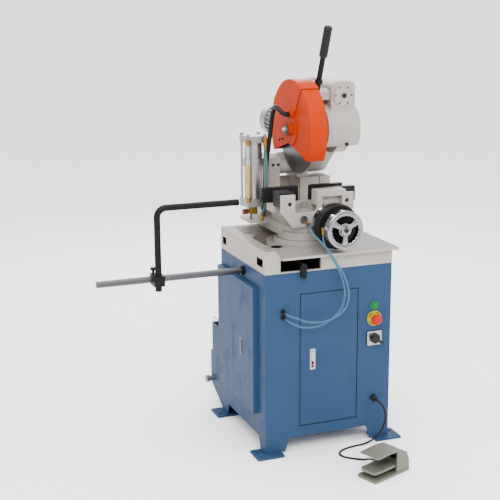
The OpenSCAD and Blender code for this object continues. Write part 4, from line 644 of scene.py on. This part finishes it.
guard_face = -0.0299
shape = bmesh.new()
hoop(shape, off_hub(0.0005), to_left, inner=0.0070, outer=0.0222, width=0.0016)
for screw_y, screw_z in ((0.181, 1.144), (0.151, 1.151)):
    screw_head(shape, (guard_face, screw_y, screw_z), to_left, radius=0.0048, height=0.0030)
finished("guard_screws", shape, screw_black, "head")

# The handle: a satin black steel bar screwed into the head with a lock nut, and a ribbed rubber
# grip pushed over its upper end.
grip_rubber = plastic_coat(
    "grip_rubber",
    (0.006, 0.006, 0.0065, 1),
    (0.022, 0.021, 0.020, 1),
    0.58,
    relief=0.0004,
    plain=sheen(0.2),
)
dress(satin_black, "handle_bar")
dress(grip_rubber, "handle_grip")

# The air-oil tank: a drawn aluminium tube between two square caps, a sight glass part full of
# yellow oil, brass fittings and a red needle-valve knob, on an alloy bracket.
tank_x, tank_y = -0.165, 0.120
tank_alloy = metal_coat("tank_alloy", (0.35, 0.33, 0.325, 1), 0.3, 0.4, middle=(-tank_x, -tank_y, 0))
cap_alloy = metal_coat("cap_alloy", (0.29, 0.28, 0.275, 1), 0.36, 0.5)
fitting_brass = metal_coat("fitting_brass", (0.30, 0.165, 0.028, 1), 0.26, 0.5, stain=(0.10, 0.06, 0.02, 1))
knob_red = plastic_coat("knob_red", (0.12, 0.006, 0.010, 1), (0.16, 0.04, 0.04, 1), 0.3)
sight_glass = plastic_coat(
    "sight_glass",
    (0.86, 0.90, 0.88, 1),
    (0.80, 0.82, 0.80, 1),
    0.08,
    relief=0.00003,
    plain={"Transmission Weight": 0.85, "IOR": 1.46},
)
sight_oil = plastic_coat("sight_oil", (0.46, 0.25, 0.004, 1), (0.38, 0.20, 0.006, 1), 0.1, relief=0.00002)
dress(tank_alloy, "oil_tank")
dress(cap_alloy, "tank_caps", "tank_bracket")
dress(fitting_brass, "tank_fittings")
dress(knob_red, "flow_knob")
dress(sight_glass, "sight_tube")

oil_clear, oil_floor, oil_share = 0.0002, 0.004, 0.62
glass_low, glass_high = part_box("sight_tube")
oil_radius = (glass_high[0] - glass_low[0]) / 2 + oil_clear
oil_low, oil_high = glass_low[2] + oil_floor, glass_low[2] + oil_share * (glass_high[2] - glass_low[2])
oil_sizes = {"segments": 32, "radius1": oil_radius, "radius2": oil_radius, "depth": oil_high - oil_low}
oil_stand = Matrix.Translation(
    ((glass_low[0] + glass_high[0]) / 2, (glass_low[1] + glass_high[1]) / 2, (oil_low + oil_high) / 2)
)
shape = bmesh.new()
bmesh.ops.create_cone(shape, cap_ends=True, matrix=oil_stand, **oil_sizes)
finished("oil_column", shape, sight_oil, "turntable")

# The vise: a machined cast bed, two black jaw blocks bolted to it, and a sliding jaw casting
# with blackened plates that the air cylinder pushes against the work.
black_oxide = coat(
    "black_oxide",
    cast,
    {"Paint": (0.0046, 0.0045, 0.0054, 1), "Soil": (0.018, 0.017, 0.016, 1), "Soiling": 0.6, "Gloss": 0.42},
    relief=0.0002,
    bare=(0.12, 0.12, 0.12, 1),
    rub=0.7,
    plain=sheen(0.2),
)
vise_x, vise_z = 0.034, 0.866
along_y = (math.pi / 2, 0, 0)
nose_steel = metal_coat(
    "nose_steel", (0.30, 0.30, 0.31, 1), 0.2, 0.3, middle=(-vise_x, 0, -vise_z), turn=along_y
)
bolt_face, bolt_middle, bolt_out, bolt_reach = -0.1055, (0.0105, 0.939), 0.1185, 0.0062
plug_face, plug_back, plug_middle, plug_reach = -0.1175, -0.1121, (-0.052, 0.878), 0.0155
fitting_face, fitting_middle, fitting_reach = -0.1176, (-0.038, 0.861), 0.0075


def at_jaw_bolt(c, n):
    beside = abs(abs(c.x - bolt_middle[0]) - bolt_out) < bolt_reach
    return c.y < bolt_face and beside and abs(c.z - bolt_middle[1]) < bolt_reach


def at_jaw_plug(c, n):
    return plug_face < c.y < plug_back and near(c.x, c.z, plug_middle, plug_reach)


def at_jaw_fitting(c, n):
    return c.y < fitting_face and near(c.x, c.z, fitting_middle, fitting_reach)


dress(cast_grey, "vise_bed", "moving_jaw")
dress(black_oxide, "fixed_jaws", "jaw_plates")
dress_part(black_oxide, "moving_jaw", at_jaw_bolt)
dress_part(pin_steel, "moving_jaw", at_jaw_plug)
dress_part(fitting_brass, "moving_jaw", at_jaw_fitting)
dress(nose_steel, "piston_nose")

# The clamp cylinder and handwheel: a ribbed black barrel with a chrome flange that slides with
# the screw, and a polished three-spoke wheel that winds it in and out.
wheel_chrome = metal_coat(
    "wheel_chrome", (0.24, 0.235, 0.25, 1), 0.09, 0.2, middle=(-vise_x, 0, -vise_z), turn=along_y
)
flange_face, inlet_face, inlet_side = -0.2005, -0.2402, -0.02
dress(satin_black, "clamp_cylinder")
dress_part(wheel_chrome, "clamp_cylinder", lambda c, n: c.y > flange_face)
dress_part(fitting_brass, "clamp_cylinder", lambda c, n: c.y < inlet_face and c.x < inlet_side)

barrel_radius, barrel_middle, barrel_ribs = 0.084, (vise_x, -0.2180, vise_z), 72
rib_size = (0.0036, 0.0300, 0.0024)
shape = bmesh.new()
for step in range(barrel_ribs):
    round_barrel = Matrix.Translation(barrel_middle) @ Matrix.Rotation(math.tau * step / barrel_ribs, 4, "Y")
    rib = block(shape, rib_size, round_barrel @ Matrix.Translation((0, 0, barrel_radius)))
    ease(shape, edges_of(rib), 0.0007, 2)
finished("barrel_ribs", shape, satin_black, "vise_carriage")

dress(wheel_chrome, "handwheel")
wheel_low, wheel_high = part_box("handwheel")
wheel_radius = (wheel_high[0] - wheel_low[0]) / 2
wheel_face = (vise_x, wheel_low[1] + 0.010, vise_z)
rim_radius, rim_flat, rim_inset = 0.0092, 0.62, 0.0086
scallops, scallop_deep, scallop_edge, scallop_fade = 24, 0.0034, 0.0080, 0.0100
spoke_size, spoke_middle, spoke_start = (0.046, 0.018, 0.007), (0.036, 0, 0.0005), 30
cap_sizes = {"cap_ends": True, "segments": 6, "radius1": 0.0225, "radius2": 0.0205, "depth": 0.009}
shape = bmesh.new()
rim_sizes = {"segments": 20, "radius": rim_radius, "matrix": Matrix.Rotation(math.pi / 2, 4, "X")}
section = bmesh.ops.create_circle(shape, cap_ends=False, **rim_sizes)["verts"]
bmesh.ops.scale(shape, vec=(1.0, 1.0, rim_flat), verts=section)
bmesh.ops.translate(shape, vec=(wheel_radius - rim_inset, 0.0, 0.0), verts=section)
spun(shape, section + edges_of(section), 120)
for vert in shape.verts:
    across = math.hypot(vert.co.x, vert.co.y)
    inward = max(0.0, wheel_radius - scallop_edge - across) / scallop_fade
    wave = 0.5 - 0.5 * math.cos(scallops * math.atan2(vert.co.y, vert.co.x))
    vert.co.xy *= 1.0 - scallop_deep * inward * wave / across
for step in range(3):
    spoke_turn = Matrix.Rotation(math.radians(spoke_start + 120 * step), 4, "Z")
    spoke = block(shape, spoke_size, spoke_turn @ Matrix.Translation(spoke_middle))
    ease(shape, edges_of(spoke), 0.0026, 3)
cap_stand = Matrix.Translation((0, 0, cap_sizes["depth"] / 2))
hub_cap = bmesh.ops.create_cone(shape, matrix=cap_stand, **cap_sizes)["verts"]
ease(shape, edges_of(hub_cap), 0.0018, 3)
bmesh.ops.transform(shape, matrix=aimed(wheel_face, to_front), verts=shape.verts)
for face in shape.faces:
    face.smooth = True
finished("wheel_rim", shape, wheel_chrome, "handwheel")

cap_face = wheel_face[1] - 0.0088
shape = bmesh.new()
screw_head(shape, (vise_x, cap_face, vise_z), to_front, radius=0.0090, height=0.0030)
finished("wheel_screw", shape, screw_black, "handwheel")

# The bar stop: a plated rod clamped to the cabinet, along which a black clamp and its bent arm
# slide to the length to be cut.
rod_middle, rod_reach = (-0.021, 0.679), 0.0132
rod_chrome = metal_coat(
    "rod_chrome", (0.078, 0.080, 0.086, 1), 0.3, 0.3, middle=(0, -rod_middle[0], -rod_middle[1]), turn=along_x
)
dress(rod_chrome, "stop_rod")
dress_part(satin_black, "stop_rod", lambda c, n: not near(c.y, c.z, rod_middle, rod_reach))
dress(satin_black, "stop_clamp", "stop_arm")

# The coolant tank and the chip box: two blue sheet-steel boxes on the back of the cabinet, the
# tank with its drain and pump below and the box above it, lifted out by bent wire handles.
pump_middle, pump_reach, tank_lid, tank_flank = (0.100, 0.320), 0.0465, 0.2252, -0.2555
bail_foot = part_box("chip_box")[1][2] - 0.0268


def on_pump(c, n):
    return near(c.x, c.y, pump_middle, pump_reach) and c.z > tank_lid


dress(cabinet_blue, "coolant_tank", "chip_box")
dress_part(satin_black, "coolant_tank", on_pump)
dress_part(pin_steel, "coolant_tank", lambda c, n: c.x < tank_flank)
dress_part(pin_steel, "chip_box", lambda c, n: c.z > bail_foot)


def smooth_route(route, steps):
    points = [Vector(p) / 1000.0 for p in route]
    padded = [points[0] * 2 - points[1]] + points + [points[-1] * 2 - points[-2]]
    line = []
    for a, b, c, d in zip(padded, padded[1:], padded[2:], padded[3:]):
        square, cube = 2 * a - 5 * b + 4 * c - d, 3 * b - a - 3 * c + d
        for step in range(steps):
            t = step / steps
            line.append(0.5 * (2 * b + (c - a) * t + square * t**2 + cube * t**3))
    return line + [points[-1]]


def tube(name, line, radius, finish):
    curve = bpy.data.curves.new(name, "CURVE")
    curve.dimensions = "3D"
    curve.bevel_depth = radius
    curve.bevel_resolution = 5
    curve.use_fill_caps = True
    spline = curve.splines.new("POLY")
    spline.points.add(len(line) - 1)
    for point, place_at in zip(spline.points, line):
        point.co = (*place_at, 1.0)
    shape = bpy.data.objects.new(name + "_line", curve)
    bpy.context.collection.objects.link(shape)
    bpy.context.view_layer.update()
    skin = bpy.data.meshes.new_from_object(shape.evaluated_get(bpy.context.evaluated_depsgraph_get()))
    bpy.data.objects.remove(shape)
    skin.name = name
    for face in skin.polygons:
        face.use_smooth = True
    skin.materials.clear()
    skin.materials.append(finish)
    piece = bpy.data.objects.new(name, skin)
    bpy.context.collection.objects.link(piece)
    return piece


end_handle_route = [
    (-250, 374, 338), (-250, 374, 356), (-250, 374, 370), (-250, 371, 377), (-250, 364, 380), (-250, 340, 380),
    (-250, 300, 380), (-250, 272, 380), (-250, 265, 377), (-250, 262, 370), (-250, 262, 356), (-250, 262, 338),
]
piece = tube("box_end_handle", smooth_route(end_handle_route, 6), 0.0022, pin_steel)
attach(piece, "chip_box")

# The foot switch: a cast hood in olive enamel over a hinged treadle, free on the floor and tied
# to the cabinet only by its cord.
olive = coat(
    "olive_enamel",
    cast,
    {"Paint": (0.092, 0.095, 0.070, 1), "Soil": (0.038, 0.036, 0.028, 1), "Soiling": 0.5, "Gloss": 0.36},
    relief=0.0006,
    edge=0.002,
    bare=(0.18, 0.18, 0.165, 1),
    rub=0.6,
)
dress(olive, "foot_switch", "foot_treadle")

# The tubes, hoses and the foot cord: each is one length of something flexible, pushed into its
# fittings at both ends and hanging under its own weight between them. Routes are in millimetres.


air_blue = plastic_coat(
    "air_tube_blue",
    (0.125, 0.31, 0.43, 1),
    (0.145, 0.32, 0.43, 1),
    0.36,
    relief=0.00001,
    plain={"Transmission Weight": 0.72, "IOR": 1.18, **sheen(0.3)},
)
hose_teal = plastic_coat("hose_teal", (0.022, 0.078, 0.078, 1), (0.055, 0.105, 0.10, 1), 0.42)
hose_black = plastic_coat(
    "hose_black", (0.007, 0.007, 0.0075, 1), (0.026, 0.026, 0.025, 1), 0.5, plain=sheen(0.2)
)
cord_black = plastic_coat(
    "cord_black", (0.006, 0.006, 0.0065, 1), (0.024, 0.023, 0.022, 1), 0.52, plain=sheen(0.2)
)

jaw_route = [
    (-38, -120, 861), (-38, -137, 861), (-38, -145, 861), (-46, -160, 860), (-57, -180, 858), (-62, -210, 850),
    (-61, -236, 840), (-52, -260, 826), (-37, -277, 806), (-16, -288, 775), (8, -294, 738), (28, -298, 702),
    (44, -300, 660), (50, -300, 622), (46, -298, 586), (28, -295, 556), (-2, -292, 536), (-40, -290, 525),
    (-82, -289, 525), (-122, -289, 534), (-156, -290, 549), (-178, -288, 559), (-188, -279, 563),
    (-189, -270, 564), (-189, -264, 564), (-189, -250, 564),
]
piston_route = [
    (-34, -252, 858), (-34, -252, 845), (-34, -252, 836), (-33, -256, 818), (-26, -266, 794), (-10, -280, 762),
    (10, -290, 724), (26, -292, 684), (36, -292, 644), (38, -291, 610), (30, -289, 576), (10, -288, 548),
    (-20, -287, 526), (-56, -286, 511), (-96, -285, 506), (-136, -285, 512), (-164, -286, 526),
    (-182, -284, 537), (-188, -277, 541), (-189, -270, 542), (-189, -264, 542), (-189, -250, 542),
]
for name, route in (("jaw_air_tube", jaw_route), ("piston_air_tube", piston_route)):
    line = smooth_route(route[::-1], 6)
    piece = tube(name, line, 0.0035, air_blue)
    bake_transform(piece)
    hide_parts("air_hoses")

coolant_route = [
    (-44, 52, 1258), (-56, 52, 1258), (-70, 55, 1264), (-79, 66, 1276), (-82, 84, 1284), (-82, 104, 1280),
    (-81, 122, 1262), (-81, 135, 1234), (-82, 143, 1200), (-85, 147, 1160), (-90, 148, 1120), (-96, 148, 1080),
    (-101, 148, 1030), (-104, 148, 980), (-105, 148, 935), (-109, 147, 904), (-114, 146, 880), (-114, 146, 870),
    (-114, 146, 862),
]
line = smooth_route(coolant_route[::-1], 8)
piece = tube("coolant_tube", line, 0.009, hose_black)
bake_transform(piece)
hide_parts("coolant_hose")

to_top = (0, 0, 1)
clip_sizes = {"inner": 0.00905, "outer": 0.0101, "width": 0.0085}
shape = bmesh.new()
hoop(shape, (-0.114, 0.146, 0.8690), to_top, **clip_sizes)
finished("lower_hose_clip", shape, latch_chrome, "turntable")
shape = bmesh.new()
hoop(shape, (-0.0500, 0.052, 1.258), to_right, **clip_sizes)
finished("upper_hose_clip", shape, screw_black, "head")

feed_route = [
    (-136, 66, 1140), (-136, 66, 1120), (-133, 63, 1080), (-132, 62, 1020), (-133, 62, 965), (-135, 63, 925),
    (-139, 68, 895), (-144, 78, 874), (-145, 82, 862), (-145, 82, 854),
]
line = smooth_route(feed_route, 8)
piece = tube("feed_tube", line, 0.006, hose_teal)
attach(piece, "turntable")
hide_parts("feed_hoses")

shape = bmesh.new()
hoop(shape, (-0.136, 0.066, 1.1310), to_top, inner=0.00605, outer=0.0074, width=0.0090)
hoop(shape, (-0.145, 0.082, 0.8600), to_top, inner=0.00605, outer=0.0074, width=0.0080)
finished("feed_ferrules", shape, fitting_brass, "turntable")

valve_route = [(-176, 120, 866), (-176, 120, 858), (-176, 120, 851)]
piece = tube("valve_tube", smooth_route(valve_route, 4), 0.004, hose_teal)
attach(piece, "turntable")
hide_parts("feed_hoses")

pedal_middle, pedal_turn = (89, -532), math.radians(21)
gland_across, gland_up = 20, 22
pedal_cos, pedal_sin = math.cos(pedal_turn), math.sin(pedal_turn)
pedal_ends = [
    (
        pedal_middle[0] + gland_across * pedal_cos - along * pedal_sin,
        pedal_middle[1] + gland_across * pedal_sin + along * pedal_cos,
        gland_up,
    )
    for along in (74, 64, 52)
]
foot_route = [
    (192, -246, 174), (192, -264, 174), (192, -272, 174), (197, -286, 169), (205, -296, 157), (212, -302, 138),
    (216, -303, 112), (212, -300, 82), (202, -295, 54), (184, -288, 28), (158, -282, 11), (128, -282, 4),
    (96, -285, 4), (64, -291, 4), (36, -301, 4), (15, -317, 4), (6, -340, 4), (14, -364, 4),
    (34, -384, 4), (54, -402, 5), (68, -420, 9), (75, -438, 17), *pedal_ends,
]
line = smooth_route(foot_route, 6)
piece = tube("foot_switch_cord", line, 0.004, cord_black)
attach(piece, "base")
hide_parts("foot_cord")
